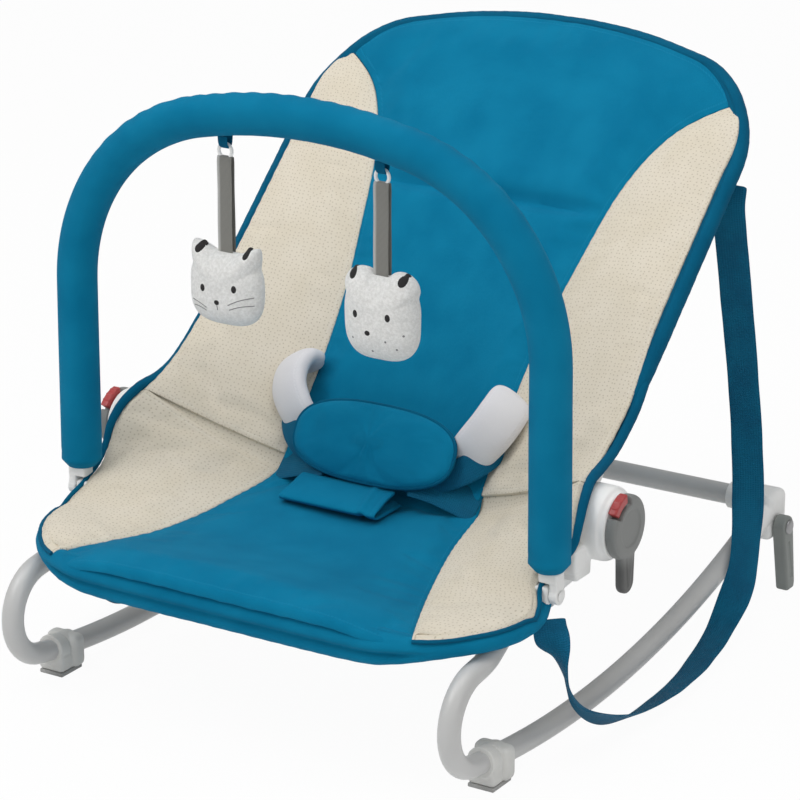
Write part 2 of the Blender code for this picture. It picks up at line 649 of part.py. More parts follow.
def add_back_cover(build):
    foot, tip = BACK_FOOT_S, SEAM_TIP_S
    opening = back_opening()
    over_head = sorted((x, s) for x, s in opening if s > 0.33)
    beside = [(s, x) for x, s in opening if s < 0.40]

    def middle_panel(layer):
        def surface(u, v):
            side_s = foot + (tip - foot) * v
            x = (2 * u - 1) * (table(side_s, SEAM_X) - GAP)
            bulge = max(0.0, (v - 0.62) / 0.38) ** 1.4
            s = side_s + bulge * (table(abs(x), over_head) - tip)
            edge = max(abs(2 * u - 1), (v - 0.9) / 0.1, (0.09 - v) / 0.09)
            top, thick = back_centre(x, s, edge)
            lift = table(v, [(0.88, 0.0), (1.0, 0.0035)]) * (1 - abs(2 * u - 1))
            return back_point(x, s, top + lift - (thick if layer else 0))
        return surface
    pad = padded_sheet(middle_panel(0), middle_panel(1), 12, 16)
    build.piece("back_pad_centre", pad, "blue_fabric", "backrest", 60)

    def outer_edge(s):
        over_socket = table(s, [(0.010, 0.2040), (0.044, 0.2030), (0.054, 0.0)])
        return max(over_socket, table(s, beside))

    def side_panel(layer):
        def surface(u, v):
            s_in = 0.0125 + (tip - 0.0040 - 0.0125) * v
            s_out = 0.0100 + (tip - 0.0100 - 0.0100) * v
            s = s_in + (s_out - s_in) * u
            inner_x = table(s_in, SEAM_X) + GAP
            x = inner_x + (outer_edge(s_out) - inner_x) * u
            n_in = table(s_in, SEAM_N) - 0.0032
            n_out = table(s_out, [(0.010, 0.0168), (0.046, 0.0168), (0.068, 0.0150), (0.100, 0.0095),
                                  (0.370, 0.0085)])
            reach = table(s_out, [(0.046, 0.84), (0.075, 1.0)])
            swell = 0.0050 * math.sin(math.pi * u)
            swell *= table(v, [(0.0, 0.3), (0.2, 1.0), (0.8, 0.8), (1.0, 0.1)])
            n = n_in + (n_out - n_in) * min(1.0, u / reach) ** 1.3 + swell * 0.5
            return back_point(x, s, n - (0.0035 + swell if layer else 0))
        return surface
    for name, flip in sides():
        pad = padded_sheet(side_panel(0), side_panel(1), 7, 12)
        build.piece("back_pad_" + name, sided(pad, flip), "beige_fabric", "backrest", 60)


SEAT_SEAM = [(-0.262, 0.1680), (-0.219, 0.1480), (-0.177, 0.1300), (-0.133, 0.1150), (-0.102, 0.1070),
             (-0.071, 0.1010), (-0.040, 0.0970)]
SEAT_SEAM_Z = [(-0.272, 0.1430), (-0.254, 0.1420), (-0.219, 0.1385), (-0.177, 0.1370), (-0.133, 0.1410),
               (-0.102, 0.1460), (-0.071, 0.1500), (-0.051, 0.1535), (-0.040, 0.1575)]
SEAT_MID_Z = [(-0.278, 0.1458), (-0.262, 0.1466), (-0.219, 0.1425), (-0.177, 0.1390), (-0.133, 0.1395),
              (-0.080, 0.1415), (-0.055, 0.1425)]
SEAT_EDGE = [(0.1650, -0.2460, 0.1400), (0.1840, -0.2350, 0.1370), (0.1970, -0.2190, 0.1355),
             (0.2055, -0.2000, 0.1345), (0.2095, -0.1780, 0.1350), (0.2095, -0.1600, 0.1400),
             (0.2015, -0.1420, 0.1500), (0.1975, -0.1250, 0.1610), (0.1985, -0.1080, 0.1745),
             (0.1985, -0.0930, 0.1865), (0.1950, -0.0790, 0.1930)]


def add_seat_cover(build):
    front, bight_y, bight_v = -0.2740, -0.0510, 0.88

    def middle_panel(layer):
        def surface(u, v):
            across = 2 * u - 1
            if v <= bight_v:
                y = front + (bight_y - front) * v / bight_v
                x = across * (table(y, SEAT_SEAM) - GAP)
                z = table(y, SEAT_MID_Z) * (1 - across ** 2) + table(y, SEAT_SEAM_Z) * across ** 2
                at, normal = Vector((x, y, z)), Vector((0, 0, 1))
            else:
                # the seat turns up behind the foot of the backrest, round the recline axis
                t = (v - bight_v) / (1 - bight_v)
                start = (-64.4 + 10.4 * across ** 2, 0.0394 - 0.0104 * across ** 2)
                end = (-51.0 + 11.0 * across ** 2, 0.0425 - 0.0075 * across ** 2)
                angle = math.radians(start[0] + (end[0] - start[0]) * t)
                radius = start[1] + (end[1] - start[1]) * t
                out = Vector((0, math.cos(angle), math.sin(angle)))
                at = Vector((across * 0.0972, HUB_Y, HUB_Z)) + out * radius
                normal = -out
            rim = max(abs(across), (0.06 - v) / 0.06, (v - 0.92) / 0.08)
            thick = 0.0085 - 0.0050 * rim ** 3
            crown = -0.0030 * rim ** 6 + groove(v, 0.085, 0.022, 0.0022)
            return at + normal * (crown - (thick if layer else 0))
        return surface
    pad = padded_sheet(middle_panel(0), middle_panel(1), 12, 16)
    build.piece("seat_pad_centre", pad, "blue_fabric", "base", 60)

    route = smooth_route(SEAT_EDGE, 2)

    def side_panel(layer):
        def surface(u, v):
            inner_y = -0.2550 + (-0.0440 + 0.2550) * v
            inner = Vector((table(inner_y, SEAT_SEAM) + GAP, inner_y, table(inner_y, SEAT_SEAM_Z) - 0.0030))
            place = v * (len(route) - 1)
            low = min(int(place), len(route) - 2)
            outer = route[low].lerp(route[low + 1], place - low)
            swell = 0.0060 * math.sin(math.pi * u)
            swell *= table(v, [(0.0, 0.1), (0.3, 1.0), (0.85, 1.0), (1.0, 0.2)])
            point = inner.lerp(outer, u)
            point.z = inner.z + (outer.z - inner.z) * u ** 1.4 + swell * 0.6
            return point - Vector((0, 0, 0.0035 + swell if layer else 0))
        return surface
    for name, flip in sides():
        pad = padded_sheet(side_panel(0), side_panel(1), 7, 12)
        build.piece("seat_pad_" + name, sided(pad, flip), "beige_fabric", "base", 60)


# Harness

def oval(half_x, half_z, power, count=24):
    points = []
    for k in range(count):
        angle = 2 * math.pi * k / count
        c, s = math.cos(angle), math.sin(angle)
        reach = (abs(c) ** power + abs(s) ** power) ** (-1 / power)
        points.append((half_x * reach * c, half_z * reach * s))
    return points


def add_harness(build):
    pad = pillow(oval(0.0760, 0.0350, 2.6), 0.0190)
    bmesh.ops.rotate(pad, matrix=Matrix.Rotation(math.radians(-30), 3, "X"), verts=pad.verts)
    bmesh.ops.translate(pad, vec=(0.0, -0.0500, 0.1930), verts=pad.verts)
    build.piece("crotch_pad", pad, "blue_fabric", "base", 60)

    def strap(layer):
        def surface(u, v):
            y = table(v, [(0.0, -0.0560), (0.4, -0.0930), (0.5, -0.1060), (0.6, -0.0930), (1.0, -0.0700)])
            z = table(v, [(0.0, 0.1470), (0.4, 0.1480), (0.5, 0.1530), (0.6, 0.1590), (1.0, 0.1620)])
            lean = table(v, [(0.0, 0.0), (0.4, 0.0), (0.5, 0.0045), (0.6, 0.0), (1.0, 0.0)])
            sink = 0.0028 if v <= 0.5 else -0.0028
            offset = Vector((0, lean, 0 if lean else sink))
            return Vector(((2 * u - 1) * 0.0450, y, z)) + (offset if layer else Vector((0, 0, 0)))
        return surface
    bm = padded_sheet(strap(1), strap(0), 6, 10)
    bmesh.ops.recalc_face_normals(bm, faces=bm.faces)
    build.piece("crotch_strap", bm, "blue_trim", "base", 60)

    route = [(0.0985, 0.0060, 0.2320), (0.1090, -0.0070, 0.2290), (0.1100, -0.0190, 0.2160),
             (0.1010, -0.0300, 0.2060), (0.0880, -0.0400, 0.2010)]
    points = smooth_route(route, 2)
    for name, flip in sides():
        bm = bmesh.new()
        rings = []
        for point, (side, up) in zip(points, frames_along(points, (0.5, 0.4, 0.8))):
            ring = []
            for k in range(10):
                angle = 2 * math.pi * k / 10
                ring.append(bm.verts.new(point + side * 0.0115 * math.cos(angle)
                                         + up * 0.0050 * math.sin(angle)))
            rings.append(ring)
        skin(bm, rings)
        bm.faces.new(rings[0][::-1])
        bm.faces.new(rings[-1])
        build.piece("hip_strap_" + name, sided(bm, flip), "white_fabric", "backrest", 60)


# Carry straps, from the backrest's top corners down to the seat's front corners

# Each row is a point on the strap's middle line and the direction of its width there
CARRY_ROUTE = [
    ((0.2045, 0.1736, 0.3910), (1.00, 0.20, 0.00)), ((0.2045, 0.1725, 0.3650), (0.98, 0.25, 0.00)),
    ((0.2050, 0.1861, 0.3061), (0.95, 0.30, 0.00)), ((0.2055, 0.1983, 0.2505), (0.95, 0.25, 0.00)),
    ((0.2075, 0.2111, 0.1762), (0.97, 0.20, 0.00)), ((0.2120, 0.2100, 0.1180), (0.90, 0.40, 0.00)),
    ((0.2200, 0.1935, 0.0750), (0.55, 0.83, 0.00)), ((0.2270, 0.1700, 0.0475), (0.35, 0.90, 0.25)),
    ((0.2315, 0.1344, 0.0264), (0.80, 0.45, 0.25)), ((0.2370, 0.1034, 0.0190), (0.92, 0.10, 0.22)),
    ((0.2425, 0.0671, 0.0152), (0.95, 0.00, 0.25)), ((0.2470, 0.0313, 0.0136), (0.93, 0.00, 0.32)),
    ((0.2490, -0.0130, 0.0136), (0.91, 0.00, 0.38)), ((0.2480, -0.0611, 0.0166), (0.86, 0.00, 0.50)),
    ((0.2455, -0.0957, 0.0262), (0.83, -0.10, 0.53)), ((0.2430, -0.1280, 0.0462), (0.75, -0.45, 0.30)),
    ((0.2410, -0.1458, 0.0646), (0.66, -0.62, -0.15)), ((0.2395, -0.1531, 0.0796), (0.62, -0.70, -0.25)),
    ((0.2365, -0.1595, 0.0985), (0.40, -0.85, -0.20)), ((0.2320, -0.1660, 0.1240), (0.05, -1.00, -0.05)),
]
CARRY_HALF = 0.0145
CARRY_THICK = 0.0016


def add_carry_straps(build):
    points = smooth_route([row[0] for row in CARRY_ROUTE], 2)
    widths = smooth_route([row[1] for row in CARRY_ROUTE], 2)
    for name, flip in sides():
        bm = bmesh.new()
        rings = []
        for i, point in enumerate(points):
            ahead = (points[min(i + 1, len(points) - 1)] - points[max(i - 1, 0)]).normalized()
            width = (widths[i] - ahead * widths[i].dot(ahead)).normalized() * CARRY_HALF
            face = ahead.cross(width).normalized() * (CARRY_THICK / 2)
            rings.append([bm.verts.new(point + width * a + face * b)
                          for a, b in ((-1, -1), (1, -1), (1, 1), (-1, 1))])
        skin(bm, rings)
        bm.faces.new(rings[0][::-1])
        bm.faces.new(rings[-1])
        build.piece("carry_strap_" + name, sided(bm, flip), "blue_trim", "base", 60)


# Toy bar with its clips, and the two toys

def add_toy_bar(build):
    half = [(TOY_BAR_X, TOY_BAR_FOOT_Z), (TOY_BAR_X - 0.002, 0.4535)]
    corners = [(x, TOY_BAR_Y, z) for x, z in half + [(0.0, 0.4960)] + [(-x, z) for x, z in half[::-1]]]
    points = bent_path(corners, [0.157, 0.42, 0.157])
    frames = frames_along(points, (0, 1, 0))
    last = len(points) - 1

    near = (points[1] - points[0]).normalized() * 0.004
    far = (points[last] - points[last - 1]).normalized() * 0.004
    padded = [points[0], points[0] + near, *points[1:last], points[last] - far, points[last]]
    padded_frames = frames_along(padded, (0, 1, 0))
    ends = (0, len(padded) - 1)
    foam = tube(padded, padded_frames, lambda i: TOY_BAR_R * (0.8 if i in ends else 1.0),
                0.0050 + GAP, 10)
    build.piece("toy_bar_cover", foam, "blue_fabric", "toy_bar", 60)
    build.piece("toy_bar_core", tube(points, frames, 0.0050, sides=10), "grey_plastic", "toy_bar")

    seat = seat_tube_path()
    seat_frames = frames_along(seat, (0, 0, 1))
    index = min(range(len(seat) // 2), key=lambda i: abs(seat[i].y + 0.140))
    middle = seat[index]
    ahead = (seat[index + 1] - seat[index - 1]).normalized()
    for name, flip in sides():
        saddle = [middle - ahead * 0.0100, middle + ahead * 0.0100]
        clip = tube(saddle, frames_along(saddle, (0, 0, 1)), 0.0108, sides=14)
        obj = build.piece("toy_bar_clip_" + name, sided(clip, flip), "white_plastic", "base")
        lug = block((0.2100, TOY_BAR_Y - 0.0070, 0.1370),
                    (0.2240, TOY_BAR_Y + 0.0080, TOY_HINGE_Z + 0.0070), 0.0018, 1)
        build.join(obj, "lug", sided(lug, flip), "base")
        pin = turned([(0.2200, 0.0030), (0.2322, 0.0030), (0.2322, 0.0048), (0.2332, 0.0040)],
                     (0, TOY_BAR_Y, TOY_HINGE_Z), sides=PIN_SIDES)
        build.join(obj, "pin", sided(pin, flip), "base")
        first, last = max(0, index - 4), index + 4
        bore = tube(seat[first:last + 1], seat_frames[first:last + 1], SLEEVE_R + GAP * 1.3,
                    sides=COVER_TUBE_SIDES)
        build.cut(obj, "tube_bore", sided(bore, flip), "base")
        open_side = block((0.1900, -0.1700, 0.1200), (middle.x - 0.0040, -0.1100, 0.1650))
        build.cut(obj, "open_side", sided(open_side, flip), "base")

        eye = turned([(0.2247, 0.0072), (0.2317, 0.0072)], (0, TOY_BAR_Y, TOY_HINGE_Z), sides=16)
        obj = build.piece("toy_bar_end_" + name, sided(eye, flip), "white_plastic", "toy_bar")
        neck = block((0.2150, TOY_BAR_Y - 0.0065, 0.1560),
                     (0.2317, TOY_BAR_Y + 0.0065, TOY_BAR_FOOT_Z - GAP), 0.0010, 1)
        build.join(obj, "neck", sided(neck, flip), "toy_bar")
        stem = block((0.2247, TOY_BAR_Y - 0.0060, TOY_HINGE_Z), (0.2317, TOY_BAR_Y + 0.0060, 0.1580))
        build.join(obj, "stem", sided(stem, flip), "toy_bar")
        hole = turned([(0.2200, 0.0033), (0.2350, 0.0033)], (0, TOY_BAR_Y, TOY_HINGE_Z), sides=PIN_SIDES)
        build.cut(obj, "pin_hole", sided(hole, flip), "toy_bar")


def head_outline(half_x, half_z, ear_angle, ear_height, ear_width, count=32):
    """A rounded head with two ears, in (x, z) about its middle."""
    points = []
    for k in range(count):
        angle = 2 * math.pi * (k + 0.5) / count
        c, s = math.cos(angle), math.sin(angle)
        reach = (abs(c) ** 3 + abs(s) ** 3) ** (-1 / 3)
        degrees = math.degrees(math.atan2(s, abs(c)))
        ear = ear_height * max(0.0, 1 - abs(degrees - ear_angle) / ear_width)
        points.append((half_x * reach * c + ear * c, half_z * reach * s + ear * s))
    return points


def add_toy(build, name, x, outline, thickness, head_z, head_top):
    body = name + "_toy"
    build.body(body, (x, TOY_BAR_Y, TOY_HINGE_TOP_Z))
    tab = block((x - 0.0020, TOY_BAR_Y - 0.0045, TOY_HINGE_TOP_Z - 0.0042),
                (x + 0.0020, TOY_BAR_Y + 0.0045, 0.4640))
    obj = build.piece(name + "_tab", tab, "ribbon", "toy_bar")
    hole = turned([(x - 0.0100, 0.0022), (x + 0.0100, 0.0022)], (0, TOY_BAR_Y, TOY_HINGE_TOP_Z), sides=12)
    build.cut(obj, "eye", hole, "toy_bar")
    reach = 0.0085
    count = 12
    loop = [Vector((x + reach * math.sin(2 * math.pi * k / count), TOY_BAR_Y,
                    TOY_HINGE_TOP_Z - reach + reach * math.cos(2 * math.pi * k / count)))
            for k in range(count)]
    bm = bmesh.new()
    rings = []
    for point in loop:
        out = (point - Vector((x, TOY_BAR_Y, TOY_HINGE_TOP_Z - reach))).normalized()
        rings.append(add_ring(bm, point, out, Vector((0, 1, 0)), 0.0013, 5))
    skin(bm, rings + rings[:1])
    bmesh.ops.recalc_face_normals(bm, faces=bm.faces)
    build.piece(name + "_ring", bm, "white_plastic", body)
    top = TOY_HINGE_TOP_Z - 2 * reach - 0.0013 - GAP
    ribbon = block((x - 0.0065, TOY_BAR_Y - 0.0018, head_top),
                   (x + 0.0065, TOY_BAR_Y + 0.0018, top), 0.0006, 1)
    build.piece(name + "_ribbon", ribbon, "ribbon", body)
    head = pillow(outline, thickness)
    bmesh.ops.translate(head, vec=(x, TOY_BAR_Y, head_z), verts=head.verts)
    build.piece(name + "_head", head, "plush", body, 60)


def add_toys(build):
    cat = head_outline(0.0335, 0.0300, 52.0, 0.0130, 16.0)
    bear = head_outline(0.0330, 0.0340, 54.0, 0.0070, 22.0)
    add_toy(build, "cat", -TOY_X, cat, 0.0300, 0.3420, 0.3730)
    add_toy(build, "bear", TOY_X, bear, 0.0300, 0.3420, 0.3770)


def main():
    clear_scene()
    build = Builder()
    build.body("base")
    build.body("backrest", (0, HUB_Y, HUB_Z))
    build.body("toy_bar", (0, TOY_BAR_Y, TOY_HINGE_Z))
    points, frames = add_side_frames(build)
    add_rear_corners(build, points, frames)
    add_front_feet(build, points, frames)
    add_rear_feet(build)
    back, seat = add_cover_tubes(build)
    add_hubs(build, (points, frames), back, seat)
    add_back_cover(build)
    add_seat_cover(build)
    add_harness(build)
    add_carry_straps(build)
    add_toy_bar(build)
    add_toys(build)


main()
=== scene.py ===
import math

import bmesh
import bpy
from mathutils import Matrix, Vector, noise
from mathutils.bvhtree import BVHTree


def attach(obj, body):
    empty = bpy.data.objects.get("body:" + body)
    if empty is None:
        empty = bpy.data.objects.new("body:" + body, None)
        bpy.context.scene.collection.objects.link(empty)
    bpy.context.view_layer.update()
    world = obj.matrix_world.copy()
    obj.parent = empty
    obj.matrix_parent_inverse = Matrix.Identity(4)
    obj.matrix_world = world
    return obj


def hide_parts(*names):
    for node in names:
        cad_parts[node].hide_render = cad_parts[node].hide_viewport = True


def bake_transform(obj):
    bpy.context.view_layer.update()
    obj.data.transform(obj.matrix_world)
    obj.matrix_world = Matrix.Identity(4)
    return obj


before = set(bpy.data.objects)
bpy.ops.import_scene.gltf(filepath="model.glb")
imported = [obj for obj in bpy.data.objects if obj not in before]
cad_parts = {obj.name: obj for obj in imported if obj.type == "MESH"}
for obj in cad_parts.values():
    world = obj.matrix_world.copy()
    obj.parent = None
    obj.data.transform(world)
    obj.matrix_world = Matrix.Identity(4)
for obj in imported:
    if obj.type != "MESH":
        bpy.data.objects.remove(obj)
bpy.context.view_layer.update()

print("frame loaded:", len(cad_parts), "nodes")

# The bouncer is drawn a little off its own origin, which is on the floor in the middle of its outline
drawingZero = Vector((0.0, 0.0015, 0.0065))
hubAxis = Vector((0.0, -0.068, 0.178))
backTilt = math.radians(42.6)
frameTubeR = 0.009
seatTubeR = 0.006
sleeveR = 0.0078
backLift = 0.003
toyBarY = -0.15
sideNames = ("right", "left")
xWay = Vector((1, 0, 0))
yWay = Vector((0, 1, 0))
zWay = Vector((0, 0, 1))


# Paths and readings

def lerp(a, b, t):
    return a + (b - a) * t


def smooth(t):
    t = min(1.0, max(0.0, t))
    return t * t * (3 - 2 * t)


def read(value, rows):   # a smooth curve through (place, value) rows
    if value <= rows[0][0]:
        return rows[0][1]
    if value >= rows[-1][0]:
        return rows[-1][1]
    i = max(k for k in range(len(rows) - 1) if rows[k][0] <= value)

    def slope(k):
        low, high = rows[max(k - 1, 0)], rows[min(k + 1, len(rows) - 1)]
        return (high[1] - low[1]) / (high[0] - low[0])
    (a, va), (b, vb) = rows[i], rows[i + 1]
    span = b - a
    t = (value - a) / span
    return ((2 * t ** 3 - 3 * t * t + 1) * va + (t ** 3 - 2 * t * t + t) * span * slope(i)
            + (3 * t * t - 2 * t ** 3) * vb + (t ** 3 - t * t) * span * slope(i + 1))


def bentPath(corners, radii, step=2.5):   # straight runs joined by arcs
    points = [Vector(corners[0])]
    for i in range(1, len(corners) - 1):
        here = Vector(corners[i])
        before = (Vector(corners[i - 1]) - here).normalized()
        after = (Vector(corners[i + 1]) - here).normalized()
        turn = math.pi - before.angle(after)
        reach = radii[i - 1] * math.tan(turn / 2)
        centre = here + (before + after).normalized() * math.hypot(radii[i - 1], reach)
        start = here + before * reach - centre
        axis = start.cross(here + after * reach - centre).normalized()
        count = max(2, math.ceil(math.degrees(turn) / step))
        points += [centre + Matrix.Rotation(turn * k / count, 3, axis) @ start for k in range(count + 1)]
    return points + [Vector(corners[-1])]


def smoothRoute(route, pieces=6):   # a smooth curve through every point of a route
    points = [Vector(p) for p in route]
    ends = [points[0] * 2 - points[1], *points, points[-1] * 2 - points[-2]]
    result = []
    for a, b, c, d in zip(ends, ends[1:], ends[2:], ends[3:]):
        for k in range(pieces):
            t = k / pieces
            result.append(0.5 * (2 * b + (c - a) * t + (2 * a - 5 * b + 4 * c - d) * t * t
                                 + (3 * b - a - 3 * c + d) * t ** 3))
    return result + [points[-1]]


def runsOf(points):   # how far along the line each point lies
    runs = [0.0]
    for a, b in zip(points, points[1:]):
        runs.append(runs[-1] + (b - a).length)
    return runs


def evenly(points, spacing):   # the same line with points at an even spacing
    runs = runsOf(points)
    count = max(2, round(runs[-1] / spacing))
    result, i = [], 0
    for k in range(count + 1):
        place = runs[-1] * k / count
        while i < len(points) - 2 and runs[i + 1] < place:
            i += 1
        result.append(points[i].lerp(points[i + 1], (place - runs[i]) / max(1e-9, runs[i + 1] - runs[i])))
    return result


def framesAlong(points, firstSide):   # a side and an up at each point, carried along without twist
    side = Vector(firstSide)
    frames = []
    for i in range(len(points)):
        ahead = (points[min(i + 1, len(points) - 1)] - points[max(i - 1, 0)]).normalized()
        side = (side - ahead * side.dot(ahead)).normalized()
        frames.append((side.copy(), ahead.cross(side).normalized()))
    return frames


# Meshes: every one carries "cloth", metres across, metres along and metres to the nearest edge

def newMesh():
    bm = bmesh.new()
    return bm, bm.verts.layers.float_vector.new("cloth")


def skin(bm, rings):   # closed rings of the same count, joined one to the next
    for a, b in zip(rings, rings[1:]):
        for k in range(len(a)):
            m = (k + 1) % len(a)
            bm.faces.new((a[k], a[m], b[m], b[k]))


def sweep(points, firstSide, radius, sides=28):   # radius is a number or a function of (run, angle)
    bm, cloth = newMesh()
    rings = []
    for point, run, (side, up) in zip(points, runsOf(points), framesAlong(points, firstSide)):
        ring = []
        for k in range(sides):
            angle = 2 * math.pi * k / sides
            r = radius(run, angle) if callable(radius) else radius
            vert = bm.verts.new(point + side * (r * math.cos(angle)) + up * (r * math.sin(angle)))
            vert[cloth] = (r * angle, run, 0.01)
            ring.append(vert)
        rings.append(ring)
    skin(bm, rings)
    for ring, order in ((rings[0], -1), (rings[-1], 1)):
        bmesh.ops.inset_individual(bm, faces=[bm.faces.new(ring[::order])], thickness=0.0006)
    return bm


def closeEnds(bm, rings):
    bm.faces.new(rings[0][::-1])
    bm.faces.new(rings[-1])
    bmesh.ops.recalc_face_normals(bm, faces=bm.faces)
    return bm


def ribbonStrip(points, widths, half, thick, across=8):   # a flat strap with soft edges
    bm, cloth = newMesh()
    rings, run = [], 0.0
    for i, point in enumerate(points):
        run += (point - points[i - 1]).length if i else 0.0
        ahead = (points[min(i + 1, len(points) - 1)] - points[max(i - 1, 0)]).normalized()
        width = (widths[i] - ahead * widths[i].dot(ahead)).normalized()
        face = ahead.cross(width).normalized()
        ring = []
        for layer in (-1, 1):
            for k in range(across + 1):
                u = (k / across * 2 - 1) * -layer
                edge = thick / 2 * (1 - u ** 8) ** 0.5 if abs(u) < 1 else 0.0
                if abs(u) == 1 and layer == 1:
                    continue
                vert = bm.verts.new(point + width * (u * half) + face * (layer * edge))
                vert[cloth] = (u * half, run, half * (1 - abs(u)))
                ring.append(vert)
        rings.append(ring)
    skin(bm, rings)
    return closeEnds(bm, rings)


def pad(top, bottom, across, along):   # a closed pad between two surfaces of (u, v) from 0 to 1
    bm, cloth = newMesh()
    length = sum((top(0.5, (j + 1) / along) - top(0.5, j / along)).length for j in range(along))
    grids = []
    for surface in (top, bottom):
        grid = []
        for j in range(along + 1):
            v = j / along
            wide = (top(1, v) - top(0, v)).length
            row = []
            for i in range(across + 1):
                u = i / across
                vert = bm.verts.new(surface(u, v))
                edge = min(u * wide, (1 - u) * wide, v * length, (1 - v) * length)
                vert[cloth] = ((u - 0.5) * wide, v * length, edge)
                row.append(vert)
            grid.append(row)
        grids.append(grid)
    upper, lower = grids
    for j in range(along):
        for i in range(across):
            bm.faces.new((upper[j][i], upper[j][i + 1], upper[j + 1][i + 1], upper[j + 1][i]))
            bm.faces.new((lower[j][i], lower[j + 1][i], lower[j + 1][i + 1], lower[j][i + 1]))
    rim = ([(0, i) for i in range(across)] + [(j, across) for j in range(along)]
           + [(along, i) for i in range(across, 0, -1)] + [(j, 0) for j in range(along, 0, -1)])
    for (j, i), (jn, iNext) in zip(rim, rim[1:] + rim[:1]):
        bm.faces.new((upper[j][i], lower[j][i], lower[jn][iNext], upper[jn][iNext]))
    return bm


def pillow(outline, thickness, rings=10):   # a stuffed flat shape, outline in (x, z), plump along Y
    bm, cloth = newMesh()
    rim = [bm.verts.new((x, 0, z)) for x, z in outline]
    for vert in rim:
        vert[cloth] = (vert.co.x, vert.co.z, 0.0)
    for face in (-1, 1):
        stack = [rim]
        for j in range(1, rings):
            level = math.cos(j / rings * math.pi / 2) ** 0.8
            plump = face * thickness / 2 * (1 - level ** 2.6) ** 0.5
            ring = [bm.verts.new((x * level, plump, z * level)) for x, z in outline]
            for vert, (x, z) in zip(ring, outline):
                vert[cloth] = (vert.co.x, vert.co.z, math.hypot(x, z) * (1 - level))
            stack.append(ring)
        skin(bm, stack)
        tip = bm.verts.new((0, face * thickness / 2, 0))
        tip[cloth] = (0, 0, 0.03)
        last = stack[-1]
        for k in range(len(last)):
            bm.faces.new((last[k], last[(k + 1) % len(last)], tip))
    bmesh.ops.recalc_face_normals(bm, faces=bm.faces)
    return bm


def turned(profile, centre, sides=64):   # a solid turned about X, profile in (along, radius) pairs
    bm = newMesh()[0]
    rings = []
    for along, radius in profile:
        ring = []
        for k in range(sides):
            angle = 2 * math.pi * k / sides
            spoke = Vector((along, radius * math.cos(angle), radius * math.sin(angle)))
            ring.append(bm.verts.new(Vector(centre) + spoke))
        rings.append(ring)
    skin(bm, rings)
    return closeEnds(bm, rings)


def block(low, high, bevel=0.001, segments=3):
    bm = newMesh()[0]
    bmesh.ops.create_cube(bm, size=1.0)
    bmesh.ops.scale(bm, vec=Vector(high) - Vector(low), verts=bm.verts)
    bmesh.ops.translate(bm, vec=(Vector(low) + Vector(high)) / 2, verts=bm.verts)
    bmesh.ops.bevel(bm, geom=bm.edges[:], offset=bevel, segments=segments, profile=0.5, affect="EDGES")
    return bm


def plate(outline, low, high, bevel=0.001):   # an outline in (y, z), thick along X
    bm = newMesh()[0]
    near = [bm.verts.new((low, y, z)) for y, z in outline]
    far = [bm.verts.new((high, y, z)) for y, z in outline]
    bm.faces.new(near[::-1])
    bm.faces.new(far)
    skin(bm, [near, far])
    bmesh.ops.recalc_face_normals(bm, faces=bm.faces)
    rims = [e for e in bm.edges if abs(e.verts[0].co.x - e.verts[1].co.x) < 1e-7]
    bmesh.ops.bevel(bm, geom=rims, offset=bevel, segments=3, profile=0.5, affect="EDGES")
    return bm


def arc(centre, radius, start, end, count):   # points of an arc in (y, z), in degrees
    angles = [math.radians(lerp(start, end, k / count)) for k in range(count + 1)]
    return [(centre[0] + radius * math.cos(a), centre[1] + radius * math.sin(a)) for a in angles]


# Objects

def addMesh(name, bm, material, angle=40.0):
    bmesh.ops.translate(bm, vec=-drawingZero, verts=bm.verts)
    bm.normal_update()
    mesh = bpy.data.meshes.new(name)
    bm.to_mesh(mesh)
    bm.free()
    mesh.shade_smooth()
    mesh.set_sharp_from_angle(angle=math.radians(angle))
    mesh.materials.append(material)
    obj = bpy.data.objects.new(name, mesh)
    bpy.context.scene.collection.objects.link(obj)
    return obj


def twin(obj, name):   # the left-hand copy of a right-hand piece
    mesh = obj.data.copy()
    mesh.transform(Matrix.Scale(-1, 4, (1, 0, 0)))
    mesh.flip_normals()
    copy = bpy.data.objects.new(name, mesh)
    bpy.context.scene.collection.objects.link(copy)
    if obj.modifiers:
        soften(copy)
    return copy


def carry(obj, body, slot, *nodes):   # rides on its body and stands for its nodes
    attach(obj, body)
    if nodes:
        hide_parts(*nodes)
    return obj


def bothSides(obj, stem, body, slot, nodes=(), sidedBody=False):
    for side in sideNames:
        piece = obj if side == "right" else twin(obj, stem + "_left")
        carry(piece, body + "_" + side if sidedBody else body, slot, *[n + "_" + side for n in nodes])


def soften(obj):
    subdivision = obj.modifiers.new("soften", "SUBSURF")
    subdivision.levels = 1
    subdivision.render_levels = 1


def evaluated(obj):
    graph = bpy.context.evaluated_depsgraph_get()
    return bpy.data.meshes.new_from_object(obj.evaluated_get(graph), depsgraph=graph)


def moulded(name, parts, holes, material, voxel=0.0007, keep=0.35, rounds=3):
    # solids joined, bores cut, and every corner rounded as a mould rounds it
    obj = addMesh(name, parts[0], material)
    tools = []
    for operation, solids in (("UNION", parts[1:]), ("DIFFERENCE", holes)):
        for solid in solids:
            tool = addMesh(name + "_tool", solid, material)
            tools.append(tool)
            cut = obj.modifiers.new("cut", "BOOLEAN")
            cut.operation = operation
            cut.object = tool
    remesh = obj.modifiers.new("skin", "REMESH")
    remesh.mode = "VOXEL"
    remesh.voxel_size = voxel
    ease = obj.modifiers.new("ease", "SMOOTH")
    ease.iterations = rounds
    ease.factor = 0.5
    fewer = obj.modifiers.new("fewer", "DECIMATE")
    fewer.ratio = keep
    mesh = evaluated(obj)
    obj.modifiers.clear()
    obj.data = mesh
    mesh.shade_smooth()
    for tool in tools:
        bpy.data.objects.remove(tool)
    return obj


def rough(point, scale=1.0):   # steady noise from -1 to 1
    return noise.noise(Vector(point) * scale)


# Shader nodes written as sums

